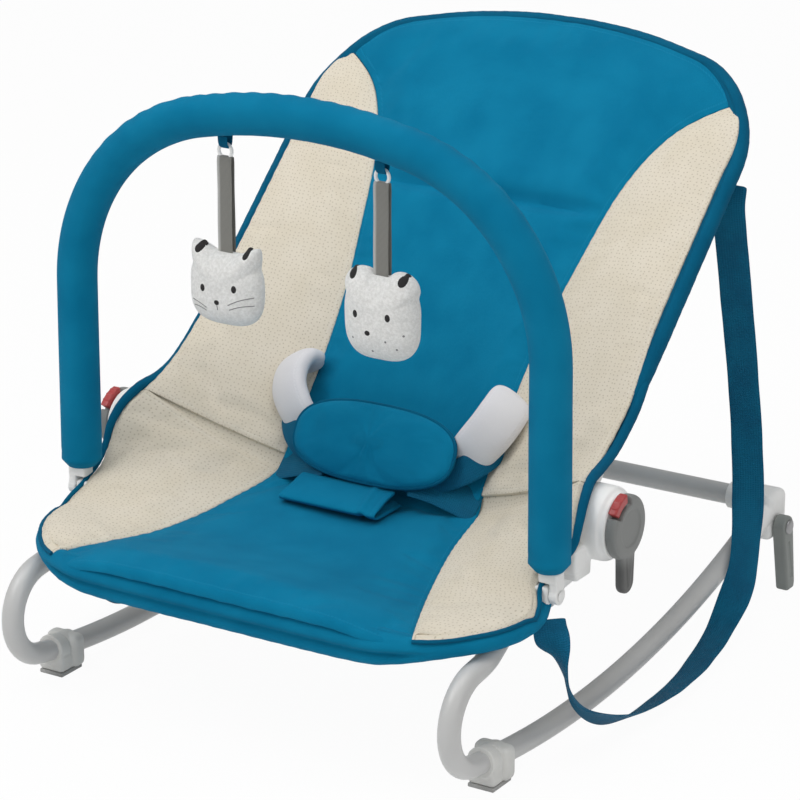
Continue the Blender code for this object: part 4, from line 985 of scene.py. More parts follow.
backCover = {"seamX": [(0.006, 0.095), (0.1, 0.0935), (0.17, 0.098), (0.225, 0.1065), (0.28, 0.1165),
                       (0.312, 0.1265), (0.335, 0.137), (0.352, 0.1475), (0.366, 0.16), (0.377, 0.1735),
                       (0.3878, 0.1894)],
             "seamN": [(0.006, -0.0265), (0.1, -0.014), (0.17, -0.005), (0.255, 0.006), (0.33, 0.0135),
                       (0.388, 0.0135)],
             "foot": 0.008, "sideFoot": 0.0125, "tip": 0.3878, "channel": 0.269, "overSide": -0.003,
             "overTop": 0.007, "rimN": 0.0118, "seamSink": 0.0032,
             "edgeDrop": [(0.0, 0.0), (0.7, 0.0004), (0.9, 0.0012), (1.0, 0.0032)],
             # the sewn channel and the swells beside it: how far from it, width, rise, squareness
             "quilt": [(0.0, 0.006, -0.009, 8), (0.022, 0.014, 0.0022, 4), (-0.02, 0.014, 0.0016, 4)],
             "hollow": [(0.02, 0.0075), (0.15, 0.008), (0.3, 0.005), (0.4, -0.001)],
             "swell": [(0.0, 0.3), (0.2, 1.0), (0.8, 0.9), (0.93, 0.5), (1.0, 0.0)],
             "outer": [(0.0157, 0.212), (0.035, 0.2108), (0.055, 0.2095), (0.075, 0.209), (0.1, 0.2085),
                       (0.13, 0.2065), (0.16, 0.204), (0.19, 0.203)],
             "outerN": [(0.0157, 0.0304), (0.035, 0.022), (0.055, 0.016), (0.075, 0.0125), (0.1, 0.01),
                        (0.13, 0.0105), (0.17, 0.0115), (0.39, 0.0114)]}
settling = []   # pads that the cloth simulation will fill
creaseFrom = backPoint(0, -0.026, 0) - drawingZero   # the cover bends between the two bodies here
creaseTo = backPoint(0, 0.046, 0) - drawingZero


def bend(obj, slot, *nodes, across=(creaseFrom, creaseTo)):   # cloth that crosses the recline axis
    if nodes:
        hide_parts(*nodes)
    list(across)
    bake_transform(obj)


def bendBoth(obj, stem, slot, *nodes, across=(creaseFrom, creaseTo)):
    for side in sideNames:
        piece = obj if side == "right" else twin(obj, stem + "_left")
        bend(piece, slot, *[n + "_" + side for n in nodes], across=across)


def backOutline(offset):   # the tube's line moved outwards, as (x, s)
    flat = backFlatPath()
    result = []
    for i in range(1, len(flat) // 2 + 1):
        ahead = (flat[i + 1] - flat[i - 1]).normalized()
        push = offset + crest(flat[i].x, flat[i].y) if offset > 0 else offset
        result.append((flat[i].x + ahead.y * offset, flat[i].y - ahead.x * push))
    return result


def apart(rows):   # sorted, without the rows that lie on the one before
    rows = sorted(rows)
    return [row for i, row in enumerate(rows) if i == 0 or row[0] - rows[i - 1][0] > 1e-4]


def puckers(along, edge, depth=0.0006, pitch=0.009):   # short creases that run in from a seam
    wave = math.sin(along * 2 * math.pi / pitch + 3 * rough((along * 60, 0, 0)))
    return depth * math.exp(-edge / 0.007) * wave


def backSeam(s):   # how far out of the backrest the sewn line lies, with its rise onto the top tube
    rim = smooth(((s - backCover["foot"]) / (backCover["tip"] - backCover["foot"]) - 0.88) / 0.12)
    return lerp(read(s, backCover["seamN"]) - backCover["seamSink"], backCover["rimN"] - 0.0016, rim)


# in each surface below, layer 0 is the upper face and layer 1 the lower; u runs across and v along
def addBackCover():
    foot, tip, seamX = backCover["foot"], backCover["tip"], backCover["seamX"]
    overHead = apart((abs(x), s) for x, s in backOutline(backCover["overTop"]) if s > 0.34)
    beside = apart((s, x) for x, s in backOutline(backCover["overSide"]) if 0.18 < s < 0.395)
    tipX = read(tip, seamX)

    def middle(layer):
        def surface(u, v):
            sideS = foot + (tip - foot) * v
            across = 2 * u - 1
            x = across * (read(sideS, seamX) + 0.0004)
            bulge = max(0.0, (v - 0.55) / 0.45) ** 1.4
            s = sideS + bulge * (read(abs(across) * tipX, overHead) - read(tipX, overHead))
            edge = max(abs(across), (0.09 - v) / 0.09)
            hollow = read(s, backCover["hollow"])
            n = read(s, backCover["seamN"]) - hollow * (1 - edge ** 2) - read(edge, backCover["edgeDrop"])
            for shift, width, rise, square in backCover["quilt"]:
                beyond = (s - backCover["channel"] - shift) / width
                n += rise * math.exp(-beyond ** 2) * (1 - edge ** square)
            rim = smooth((v - 0.88) / 0.12)
            top = backCover["rimN"] + (0.0008 + 0.8 * crest(x, s)) * (1 - across ** 6)
            n = n * (1 - rim) + (top - 0.0026 * smooth((v - 0.965) / 0.035)) * rim
            n = lerp(n, backSeam(sideS), smooth((abs(across) - 0.9) / 0.1))
            if rim < 0.5:
                n += puckers(s, (1 - abs(across)) * 0.1)
            else:
                n += puckers(x, (1 - v) * 0.3, 0.0004, 0.014)
            thick = 0.01 - 0.0058 * max(edge, rim) ** 3
            return backPoint(x, s, n - (thick if layer else 0))
        return surface
    obj = addMesh("back_panel_centre", pad(middle(0), middle(1), 60, 88), looks["blue"], 70)
    settling.append((obj, 4.0, 0.005))

    def side(layer):
        def surface(u, v):
            sIn = lerp(backCover["sideFoot"], tip, v)
            sOut = lerp(backCover["outer"][0][0], tip, v)
            s = lerp(sIn, sOut, u)
            inner = read(sIn, seamX) - 0.0004
            outer = read(sOut, backCover["outer"]) if sOut < 0.19 else read(sOut, beside)
            outer = max(outer + 0.006 * smooth((v - 0.8) / 0.2), inner + 0.0012)
            x = lerp(inner, outer, u)
            nIn = backSeam(sIn)
            nOut = lerp(read(sOut, backCover["outerN"]), nIn, smooth((v - 0.93) / 0.07))
            swell = math.sin(math.pi * min(1.0, u * 1.05)) * read(v, backCover["swell"])
            n = nIn + (nOut - nIn) * min(1.0, max(0.0, u / 0.94)) ** 1.3 + 0.0025 * swell
            lip = 0.0018 * smooth(u * 12) - 0.0012 * smooth((u - 0.95) / 0.05)
            n += lip * (1 - smooth((v - 0.9) / 0.1))
            n += puckers(s, u * 0.1) + puckers(s + 0.004, (1 - u) * 0.1, 0.0005, 0.012)
            n += 0.0012 * rough((x * 30, s * 16, 3.1)) * swell
            return backPoint(x, s, n - (0.0035 + 0.0045 * swell if layer else 0))
        return surface
    wing = addMesh("back_panel_right", pad(side(0), side(1), 34, 96), looks["beige"], 70)
    settling.append((wing, 2.5, 0.003))
    return obj, wing, middle(0), side(0)


seatCover = {"seam": [(-0.262, 0.168), (-0.219, 0.148), (-0.177, 0.13), (-0.133, 0.115), (-0.102, 0.107),
                      (-0.071, 0.101), (-0.04, 0.097)],
             "seamZ": [(-0.268, 0.135), (-0.254, 0.1385), (-0.219, 0.138), (-0.177, 0.137), (-0.133, 0.141),
                       (-0.102, 0.146), (-0.071, 0.15), (-0.051, 0.1535), (-0.04, 0.1575)],
             "midZ": [(-0.278, 0.1495), (-0.262, 0.151), (-0.24, 0.1475), (-0.219, 0.144), (-0.177, 0.139),
                      (-0.133, 0.1395), (-0.08, 0.1415), (-0.055, 0.1425)],
             "frontY": [(0.0, -0.279), (0.1, -0.2785), (0.135, -0.2755), (0.155, -0.27), (0.168, -0.264)],
             "frontZ": [(0.0, 0.148), (0.1, 0.1465), (0.13, 0.1415), (0.15, 0.1372), (0.168, 0.134)],
             "wrap": 102.0, "wrapEnd": (50.0, 64.0), "wrapFrom": 0.1635, "wrapTo": -0.18, "tuck": 0.84,
             "edge": [(0.2235, -0.172, 0.1365), (0.22, -0.164, 0.143), (0.2142, -0.157, 0.151),
                      (0.2135, -0.15, 0.156),
                      (0.214, -0.138, 0.16), (0.2165, -0.127, 0.165), (0.2195, -0.116, 0.173),
                      (0.22, -0.106, 0.187), (0.217, -0.093, 0.201), (0.212, -0.077, 0.211)],
             "swell": [(0.0, 0.05), (0.3, 1.0), (0.85, 1.0), (1.0, 0.2)], "sideY": (-0.262, -0.044),
             # the centre's turned-up end: angle and radius about the recline axis, with their change outwards
             "bightY": -0.051, "bight": 0.88, "bightX": 0.0975,
             "turnUp": [((-64.4, 10.4), (0.0394, -0.0104)), ((-51.0, 11.0), (0.0425, -0.0075))]}


def seatRims():
    # for each place along the beige side's edge, five points that lie over the roll and down its outer face
    route = [p for p in seatEdgePath() if p.x > 0]
    rims = []
    for i in range(len(route) - 1, 0, -1):
        here = route[i]
        if here.x > seatCover["wrapFrom"] and here.y < seatCover["wrapTo"]:
            ahead = (route[i] - route[i - 1]).normalized()
            out = Vector((-ahead.y, ahead.x, 0)).normalized()
            out = out if out.dot(here - Vector((0, -0.15, here.z))) > 0 else -out
            size = read(abs(here.x), edging["roll"]) + 0.001
            last = lerp(*seatCover["wrapEnd"], smooth((here.y + 0.255) / 0.03))
            angles = [math.radians(lerp(seatCover["wrap"], last, k / 4)) for k in range(5)]
            rims.append([here + (out * math.cos(a) + zWay * math.sin(a)) * size for a in angles])
    for point in smoothRoute(seatCover["edge"], 6):
        inward = Vector((-0.006, 0.0, 0.0012))
        rims.append([point + inward * (1 - k / 4) ** 1.3 for k in range(5)])
    return rims


def readRim(rims, place, w):
    low = min(int(place), len(rims) - 2)
    k = min(int(w * 4), 3)
    row = [a.lerp(b, place - low) for a, b in zip(rims[low], rims[low + 1])]
    return row[k].lerp(row[k + 1], w * 4 - k)


def addSeatCover():
    seam, seamZ, bight = seatCover["seam"], seatCover["seamZ"], seatCover["bight"]

    def middle(layer):
        def surface(u, v):
            across = 2 * u - 1
            if v <= bight:
                front = read(abs(across) * 0.168, seatCover["frontY"])
                y = lerp(front, seatCover["bightY"], v / bight)
                x = across * (read(y, seam) + 0.0004)
                z = read(y, seatCover["midZ"]) * (1 - across ** 2) + read(y, seamZ) * across ** 2
                z = lerp(read(abs(x), seatCover["frontZ"]), z, smooth(v / 0.09))
                at, normal = Vector((x, y, z)), zWay
            else:   # turned up behind the foot of the backrest, round the recline axis
                t = (v - bight) / (1 - bight)
                start, end = [[a + b * across ** 2 for a, b in place] for place in seatCover["turnUp"]]
                angle = math.radians(lerp(start[0], end[0], t))
                out = Vector((0, math.cos(angle), math.sin(angle)))
                hinge = Vector((across * seatCover["bightX"], hubAxis.y, hubAxis.z))
                at = hinge + out * lerp(start[1], end[1], t)
                normal = -out
            rim = max(abs(across), (v - 0.92) / 0.08)
            thick = 0.009 - 0.005 * rim ** 3
            crown = -0.0032 * rim ** 8 + 0.0012 * rough((at.x * 11, at.y * 9, 7.7)) * (1 - rim)
            crown -= 0.0016 * (1 - smooth(v / 0.03)) + (0.0008 if v == 0 else 0)
            crown += puckers(at.y, (1 - abs(across)) * 0.12) + puckers(at.x, v * 0.25, 0.0004, 0.013)
            return at + normal * (crown - (thick if layer else 0))
        return surface
    obj = addMesh("seat_panel_centre", pad(middle(0), middle(1), 60, 76), looks["blue"], 70)
    settling.append((obj, 3.0, 0.004))

    rims = seatRims()
    tuck = seatCover["tuck"]

    def side(layer):
        def surface(u, v):
            innerY = lerp(*seatCover["sideY"], v)
            inner = Vector((read(innerY, seam) - 0.0004, innerY, read(innerY, seamZ) - 0.003))
            place = v * (len(rims) - 1)
            swell = math.sin(math.pi * u) * read(v, seatCover["swell"])
            if u < tuck:
                t = u / tuck
                rim = readRim(rims, place, 0.0)
                point = inner.lerp(rim, t)
                point.z = inner.z + (rim.z - inner.z) * max(0.0, t) ** 1.4
            else:
                point = readRim(rims, place, (u - tuck) / (1 - tuck)).copy()
            point.z += 0.0042 * swell + 0.0016 * smooth(u * 12) * (1 - smooth((u - 0.7) / 0.14))
            point.z += puckers(innerY, u * 0.1) + puckers(innerY, (1 - u) * 0.1, 0.0004, 0.012)
            point.z += 0.0016 * rough((point.x * 26, point.y * 20, 1.7)) * swell
            under = zWay * (0.003 + 0.005 * swell) if u < tuck else Vector((0.3, 0, 1)) * 0.0024
            return point - (under if layer else Vector())
        return surface
    wing = addMesh("seat_panel_right", pad(side(0), side(1), 40, 80), looks["beige"], 70)
    settling.append((wing, 2.5, 0.003))
    return obj, wing, middle(0), side(0)


backMiddle, backSide, *backFaces = addBackCover()
seatMiddle, seatSide, *seatFaces = addSeatCover()
print("cover panels drawn")


# The soft fold between the two beige sides, and the binding along their free edge

crease = {"overlap": 0.022, "sag": 0.006, "thick": 0.0026,
          "binding": [(0.185, 0.204, 0.001), (0.15, 0.2055, 0.002), (0.125, 0.2085, 0.003),
                      (0.1, 0.2105, 0.003), (0.078, 0.211, 0.005), (0.056, 0.2115, 0.0095),
                      (0.036, 0.2125, 0.019)],
          "low": [(0.2155, -0.076, 0.213), (0.22, -0.0945, 0.203), (0.223, -0.1075, 0.188),
                  (0.223, -0.115, 0.1735), (0.22, -0.1275, 0.164), (0.2175, -0.139, 0.159),
                  (0.2165, -0.15, 0.155), (0.2178, -0.1578, 0.15), (0.2225, -0.166, 0.1425),
                  (0.2248, -0.1755, 0.1345)],
          "bindingR": [(0.0, 0.005), (0.1, 0.0046), (0.2, 0.0038), (0.26, 0.0022), (0.31, 0.0018)]}


def addFold(name, faces, share, low, high, depth, inset=0.0, across=34):   # cloth that sags between two rows
    def fold(layer):
        def surface(u, v):
            u = lerp(-inset, 1, u)
            point = faces[0](u, low).lerp(faces[1](u, high), v)
            dip = math.sin(math.pi * v) * depth(u)
            return point - Vector((0, -0.36, 0.93)) * (dip + 0.0006 + (crease["thick"] if layer else 0))
        return surface
    bm = pad(fold(0), fold(1), across, 14)
    bmesh.ops.recalc_face_normals(bm, faces=bm.faces)
    obj = addMesh(name, bm, looks[share], 70)
    soften(obj)
    return obj


def addCrease():
    share, sag = crease["overlap"], crease["sag"]
    obj = addFold("crease_fold_right", (seatFaces[1], backFaces[1]), "beigePlain", 1 - share, share,
                  lambda u: sag * (1 - 0.7 * u), 0.1)
    bendBoth(obj, "crease_fold", "beige_fabric")
    obj = addFold("crease_fold_centre", (seatFaces[0], backFaces[0]), "bluePlain", 0.86, 0.03,
                  lambda u: 0.004, 0.0, 60)
    bend(obj, "blue_fabric")

    upper = [backPoint(x, s, n) for s, x, n in crease["binding"]] + [Vector(p) for p in crease["low"]]
    piping = [rim[4] for rim in seatRims() if rim[4].y < -0.186 or rim[4].x < 0.22]
    piping = [p for p in piping if p.y < -0.186][::-1]
    route = smoothRoute(upper, 8) + evenly(piping, 0.004)
    route = evenly(route, 0.003)
    sizes = crease["bindingR"]
    bm = sweep(route, xWay, gathered(route, lambda run, angle: read(run, sizes), 0.0002, 0.009), 16)
    obj = addMesh("crease_binding_right", bm, looks["trim"], 60)
    bendBoth(obj, "crease_binding", "blue_trim")


addCrease()


# The harness: a crotch pad on its strap, and two padded hip straps

harness = {"padHalf": (0.076, 0.0325), "padThick": 0.019, "padTilt": -30.0, "padAt": (0.0, -0.05, 0.1945),
           "hipRoute": [(0.0975, 0.0103, 0.2258), (0.1, 0.004, 0.232), (0.102, -0.005, 0.235),
                        (0.102, -0.017, 0.229), (0.0975, -0.027, 0.218), (0.089, -0.032, 0.206),
                        (0.08, -0.033, 0.195), (0.072, -0.033, 0.188)],
           "hipHalf": 0.018, "hipThick": 0.015, "hipSide": (0.87, -0.2, -0.31),
           "hipBend": ((0.0, -0.033, 0.19), (0.0, 0.0, 0.225)),
           "waistBend": ((0.0, -0.05, 0.176), (0.0, -0.015, 0.212)), "flapX": (-0.06, 0.031),
           "flapY": [(0.0, -0.056), (0.4, -0.092), (0.5, -0.1), (0.6, -0.092), (1.0, -0.064)],
           "flapZ": [(0.0, 0.1475), (0.4, 0.148), (0.5, 0.153), (0.6, 0.158), (1.0, 0.164)]}
belts = {"waist": {"wide": (0.1, 0.35, 0.9), "half": 0.0125,
                   "route": [(0.105, -0.015, 0.212), (0.099, -0.03, 0.199), (0.083, -0.043, 0.186),
                             (0.06, -0.05, 0.176), (0.03, -0.054, 0.172)]},
         "anchor": {"wide": (0.3, 0.75, 0.5), "half": 0.015,
                    "route": [(0.096, -0.044, 0.156), (0.084, -0.047, 0.16), (0.062, -0.052, 0.168),
                              (0.04, -0.056, 0.172)]}}


def oval(halfX, halfZ, power, count=96):
    points = []
    for k in range(count):
        c, s = math.cos(2 * math.pi * k / count), math.sin(2 * math.pi * k / count)
        reach = (abs(c) ** power + abs(s) ** power) ** (-1 / power)
        points.append((halfX * reach * c, halfZ * reach * s))
    return points


def addCrotchPad():
    tilt = Matrix.Rotation(math.radians(harness["padTilt"]), 4, "X")
    place = Matrix.Translation(harness["padAt"]) @ tilt
    outline = oval(*harness["padHalf"], 2.6)
    bm = pillow(outline, harness["padThick"])
    bmesh.ops.transform(bm, matrix=place, verts=bm.verts)
    obj = addMesh("crotch_pad_cushion", bm, looks["bluePlain"], 80)
    settling.append((obj, 3.0, 0.003))
    carry(obj, "base", "blue_fabric", "crotch_pad")
    loop = [place @ Vector((x, 0, z)) for x, z in outline]
    ring = loop + loop[:2]
    bm = sweep(ring, yWay, 0.0017, 10)
    carry(addMesh("crotch_pad_piping", bm, looks["trim"], 80), "base", "blue_trim")


def addCrotchStrap():
    low, high = harness["flapX"]

    def flap(layer):   # the strap lies forward on the seat, folds and runs back under the pad
        def surface(u, v):
            y, z = read(v, harness["flapY"]), read(v, harness["flapZ"])
            inward = smooth((abs(v - 0.5) - 0.02) / 0.1)
            lift = Vector((0, 0.003 * (1 - inward), 0.003 * inward * (1 if v < 0.5 else -1)))
            x = lerp(low, high, u) + 0.002 * rough((v * 3, u * 2, 0.3))
            fold = 0.0022 * math.exp(-((u - 0.86 + 0.12 * (v - 0.5)) / 0.03) ** 2)
            return Vector((x, y, z + fold)) + (lift if layer else Vector())
        return surface
    bm = pad(flap(1), flap(0), 40, 36)
    bmesh.ops.recalc_face_normals(bm, faces=bm.faces)
    obj = addMesh("crotch_strap_flap", bm, looks["blue"], 70)
    soften(obj)
    carry(obj, "base", "blue_trim", "crotch_strap")


def addHipStraps():
    half, thick = harness["hipHalf"], harness["hipThick"] / 2
    route = smoothRoute(harness["hipRoute"], 7)
    count = len(route) - 1
    bm, cloth = newMesh()
    rings = []
    rows = zip(route, runsOf(route), framesAlong(route, harness["hipSide"]))
    for i, (point, run, (side, up)) in enumerate(rows):
        belly = math.sin(math.pi * i / count)
        close = 0.62 + 0.38 * smooth(min(i, count - i) / 7) + 0.1 * belly ** 2
        ring = []
        for k in range(28):
            angle = 2 * math.pi * k / 28
            c, s = math.cos(angle), math.sin(angle)
            reach = (abs(c) ** 2.6 + abs(s) ** 2.6) ** (-1 / 2.6)
            fat = 0.72 + 0.52 * belly + 0.06 * rough((run * 70, c, s))
            vert = bm.verts.new(point + side * (half * reach * c * close) + up * (thick * reach * s * fat))
            vert[cloth] = (half * c, run, half * (1 - abs(c)))
            ring.append(vert)
        rings.append(ring)
    skin(bm, rings)
    bm.faces.new(rings[0][::-1])
    bm.faces.new(rings[-1])
    obj = addMesh("hip_strap_right_padded", bm, looks["white"], 80)
    soften(obj)
    loose = [Vector(p) - drawingZero for p in harness["hipBend"]]
    bendBoth(obj, "hip_strap_padded", "white_fabric", "hip_strap", across=loose)


def addBelts():
    for stem, belt in belts.items():
        line = smoothRoute(belt["route"], 8)
        bm = ribbonStrip(line, [Vector(belt["wide"])] * len(line), belt["half"], 0.0018)
        obj = addMesh(stem + "_web_right", bm, looks["webbing"], 60)
        soften(obj)
        if stem == "waist":
            loose = [Vector(p) - drawingZero for p in harness["waistBend"]]
            bendBoth(obj, stem + "_web", "blue_trim", across=loose)
        else:
            bothSides(obj, stem + "_web", "base", "blue_trim")


addCrotchPad()
addCrotchStrap()
addHipStraps()
addBelts()


# The carry straps, sewn to the backrest's top corners and under the seat's front corners

carryStrap = {"half": 0.0145, "thick": 0.0016, "route": [
    ((0.2045, 0.1736, 0.391), (1.0, 0.2, 0.0)), ((0.2045, 0.1725, 0.365), (0.98, 0.25, 0.0)),
    ((0.205, 0.1861, 0.3061), (0.95, 0.3, 0.0)), ((0.2055, 0.1983, 0.2505), (0.95, 0.25, 0.0)),
    ((0.2075, 0.2111, 0.1762), (0.97, 0.2, 0.0)), ((0.212, 0.21, 0.118), (0.9, 0.4, 0.0)),
    ((0.22, 0.1935, 0.075), (0.55, 0.83, 0.0)), ((0.227, 0.17, 0.0475), (0.35, 0.9, 0.25)),
    ((0.2315, 0.1344, 0.0264), (0.8, 0.45, 0.25)), ((0.237, 0.1034, 0.019), (0.92, 0.1, 0.22)),
    ((0.2425, 0.0671, 0.0152), (0.95, 0.0, 0.25)), ((0.247, 0.0313, 0.0136), (0.93, 0.0, 0.32)),
    ((0.249, -0.013, 0.0136), (0.91, 0.0, 0.38)), ((0.248, -0.0611, 0.0166), (0.86, 0.0, 0.5)),
    ((0.2455, -0.0957, 0.0262), (0.83, -0.1, 0.53)), ((0.243, -0.128, 0.0462), (0.75, -0.45, 0.3)),
    ((0.241, -0.1458, 0.0646), (0.66, -0.62, -0.15)), ((0.2395, -0.1531, 0.0796), (0.64, -0.66, -0.3)),
    ((0.2375, -0.1585, 0.095), (0.8, -0.42, -0.42)), ((0.2345, -0.161, 0.107), (0.89, 0.02, -0.45)),
    ((0.2305, -0.1612, 0.1185), (0.8, 0.42, -0.43)), ((0.2265, -0.158, 0.129), (0.66, 0.66, -0.36))],
    "blendFrom": (0.0, 0.02, 0.06), "blendTo": (0.0, 0.16, 0.34)}


def addCarryStraps():
    points = smoothRoute([row[0] for row in carryStrap["route"]], 8)
    widths = smoothRoute([row[1] for row in carryStrap["route"]], 8)
    bm = ribbonStrip(points, widths, carryStrap["half"], carryStrap["thick"], 10)
    for vert in bm.verts:
        vert.co += xWay * (0.0006 * rough(vert.co, 45.0))
    right = addMesh("carry_strap_right_web", bm, looks["webbing"], 60)
    for side in sideNames:
        obj = right if side == "right" else twin(right, "carry_strap_left_web")
        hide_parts("carry_strap_" + side)
        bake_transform(obj)
        soften(obj)


addCarryStraps()


# The toy bar and the two toys

toyBar = {"radius": 0.0166, "footX": 0.2215, "footZ": 0.1655, "topZ": 0.496, "shoulderZ": 0.4535,
          "hingeZ": 0.146, "coreR": 0.005, "clipY": -0.14, "clipR": 0.0108, "clipHalf": 0.01,
          "pin": [(0.22, 0.003), (0.2322, 0.003), (0.2322, 0.0048), (0.2332, 0.004)], "pinHoleR": 0.0033,
          "eye": (0.2247, 0.2317), "eyeR": 0.0072}


def toyBarPath():
    half = [(toyBar["footX"], toyBar["footZ"]), (toyBar["footX"] - 0.002, toyBar["shoulderZ"])]
    corners = half + [(0.0, toyBar["topZ"])] + [(-x, z) for x, z in half[::-1]]
    return bentPath([(x, toyBarY, z) for x, z in corners], [0.157, 0.42, 0.157])


def addToyBar():
    route = evenly(toyBarPath(), 0.003)
    total = runsOf(route)[-1]

    def radius(run, angle):
        end = min(run, total - run)
        tuck = 1 - 0.3 * (1 - smooth(end / 0.006)) - 0.02 * math.exp(-((end - 0.011) / 0.002) ** 2)
        bendHere = smooth((end - 0.24) / 0.06) * (1 - smooth((end - 0.52) / 0.08))
        inner = max(0.0, -math.sin(angle))
        crease = math.sin(run * 2 * math.pi / 0.017 + 3 * rough((run * 25, 0, 4)))
        drape = rough((run * 9, math.cos(angle) * 1.1, math.sin(angle) * 1.1))
        return toyBar["radius"] * tuck + 0.00035 * bendHere * inner * crease + 0.0006 * drape
    bm = sweep(route, yWay, radius, 40)
    carry(addMesh("toy_bar_sleeve", bm, looks["bluePlain"], 60), "toy_bar", "blue_fabric", "toy_bar_cover")
    core = evenly(toyBarPath(), 0.01)
    bm = sweep(core, yWay, toyBar["coreR"], 16)
    carry(addMesh("toy_bar_rod", bm, looks["darkPlastic"]), "toy_bar", "grey_plastic", "toy_bar_core")


def addToyBarClips():
    seat = seatPath()
    index = min(range(len(seat) // 2), key=lambda i: abs(seat[i].y - toyBar["clipY"]))
    middle = seat[index]
    ahead = (seat[index + 1] - seat[index - 1]).normalized()
    hinge = (0, toyBarY, toyBar["hingeZ"])
    half = toyBar["clipHalf"]
    saddle = sweep(evenly([middle - ahead * half, middle + ahead * half], 0.002), zWay, toyBar["clipR"], 40)
    lug = block((0.21, toyBarY - 0.007, 0.137), (0.224, toyBarY + 0.008, toyBar["hingeZ"] + 0.007), 0.0024, 3)
    pin = turned(toyBar["pin"], hinge, 32)
    bore = sweep(seat[max(0, index - 12):index + 12], zWay, sleeveR + 0.0002, 32)
    openSide = block((0.19, -0.17, 0.12), (middle.x - 0.004, -0.11, 0.165), 0.0005, 1)
    obj = moulded("toy_bar_clip_right", [saddle, lug, pin], [bore, openSide], looks["whitePlastic"], 0.0006)
    bothSides(obj, "toy_bar_clip", "base", "white_plastic", ["toy_bar_clip"])

    low, high = toyBar["eye"]
    eye = turned([(low, toyBar["eyeR"]), (high, toyBar["eyeR"])], hinge, 40)
    neck = block((0.215, toyBarY - 0.0065, 0.156), (high, toyBarY + 0.0065, toyBar["footZ"] - 0.0002),
                 0.0016, 3)
    stem = block((low, toyBarY - 0.006, toyBar["hingeZ"]), (high, toyBarY + 0.006, 0.158), 0.001, 2)
    hole = turned([(0.22, toyBar["pinHoleR"]), (0.235, toyBar["pinHoleR"])], hinge, 32)
    obj = moulded("toy_bar_end_right", [eye, neck, stem], [hole], looks["whitePlastic"], 0.0006)
    bothSides(obj, "toy_bar_end", "toy_bar", "white_plastic", ["toy_bar_end"])


toys = {"hingeZ": 0.459, "ringR": 0.006, "headZ": 0.342, "thick": 0.03,
        "hanger": [(-0.004, 0.4655), (-0.003, 0.459), (0.0, 0.4555), (0.003, 0.459), (0.004, 0.4655)],
        "cat": {"x": -0.072, "half": (0.0335, 0.03), "ears": (52.0, 0.013, 16.0), "top": 0.373,
                "tips": ((-0.0215, 0.0318), (0.0225, 0.0322)), "tipR": 0.0036,
                "eyes": ((-0.0145, 0.0014), (0.0152, 0.0043)), "nose": (-0.001, -0.0088),
                "extra": "whiskers", "dots": (),
                "lines": (((-0.0264, -0.0103), (-0.0111, -0.0144)), ((-0.025, -0.015), (-0.0115, -0.017)),
                          ((0.01, -0.0092), (0.03, -0.0018)), ((0.011, -0.013), (0.03, -0.0085)),
                          ((-0.001, -0.0108), (-0.0005, -0.0148)))},
        "bear": {"x": 0.072, "half": (0.033, 0.034), "ears": (54.0, 0.007, 22.0), "top": 0.377,
                 "tips": ((-0.0225, 0.0335), (0.0225, 0.0335)), "tipR": 0.004,
                 "eyes": ((-0.0164, 0.0036), (0.0132, 0.0047)), "nose": (-0.0048, -0.0099),
                 "extra": "freckles", "lines": (),
                 "dots": ((-0.0193, -0.0161), (0.0254, -0.0085), (-0.002, -0.0247), (0.0196, -0.0203),
                          (0.011, -0.0148))}}


def headOutline(halfX, halfZ, earAngle, earHeight, earWidth, count=128):
    points = []
    for k in range(count):
        angle = 2 * math.pi * (k + 0.5) / count
        c, s = math.cos(angle), math.sin(angle)
        reach = (abs(c) ** 3 + abs(s) ** 3) ** (-1 / 3)
        off = abs(math.degrees(math.atan2(s, abs(c))) - earAngle) / earWidth
        ear = earHeight * (max(0.0, 1 - off) if earWidth < 20 else math.sqrt(max(0.0, 1 - off * off)))
        points.append((halfX * reach * c + ear * c, halfZ * reach * s + ear * s))
    return points


def onHead(tree, x, z):   # where a thread lies on the front of a head
    spot, normal = tree.ray_cast(Vector((x, toyBarY - 0.06, z)) - drawingZero, yWay)[:2]
    return (spot + drawingZero, normal) if spot else (Vector((x, toyBarY, z)), Vector((0, -1, 0)))


def patch(bm, tree, x, z, rx, rz, lift=0.0006, rings=4, sides=20):   # a raised oval of satin stitch
    stack = []
    for j in range(rings + 1):
        level = j / rings
        ring = []
        for k in range(sides):
            angle = 2 * math.pi * k / sides
            spot, normal = onHead(tree, x + rx * (1 - level * 0.97) * math.cos(angle),
                                  z + rz * (1 - level * 0.97) * math.sin(angle))
            ring.append(bm.verts.new(spot + normal * (lift * math.sin(level * math.pi / 2) - 0.0001)))
        stack.append(ring)
    under = [bm.verts.new(v.co + Vector((0, 0.0006, 0))) for v in stack[0]]
    skin(bm, [under] + stack)
    bm.faces.new(under[::-1])
    bm.faces.new(stack[-1])


def thread(bm, tree, ends, radius=0.00035, sides=6):
    (x0, z0), (x1, z1) = ends
    points = []
    for t in (k / 10 for k in range(11)):
        points.append(onHead(tree, lerp(x0, x1, t), lerp(z0, z1, t) + 0.0012 * math.sin(math.pi * t))[0])
    turns = [2 * math.pi * k / sides for k in range(sides)]
    rings = []
    for point, (side, up) in zip(points, framesAlong(points, zWay)):
        rings.append([bm.verts.new(point + side * (radius * math.cos(a)) + up * (radius * math.sin(a)))
                      for a in turns])
    skin(bm, rings)
    bm.faces.new(rings[0][::-1])
    bm.faces.new(rings[-1])


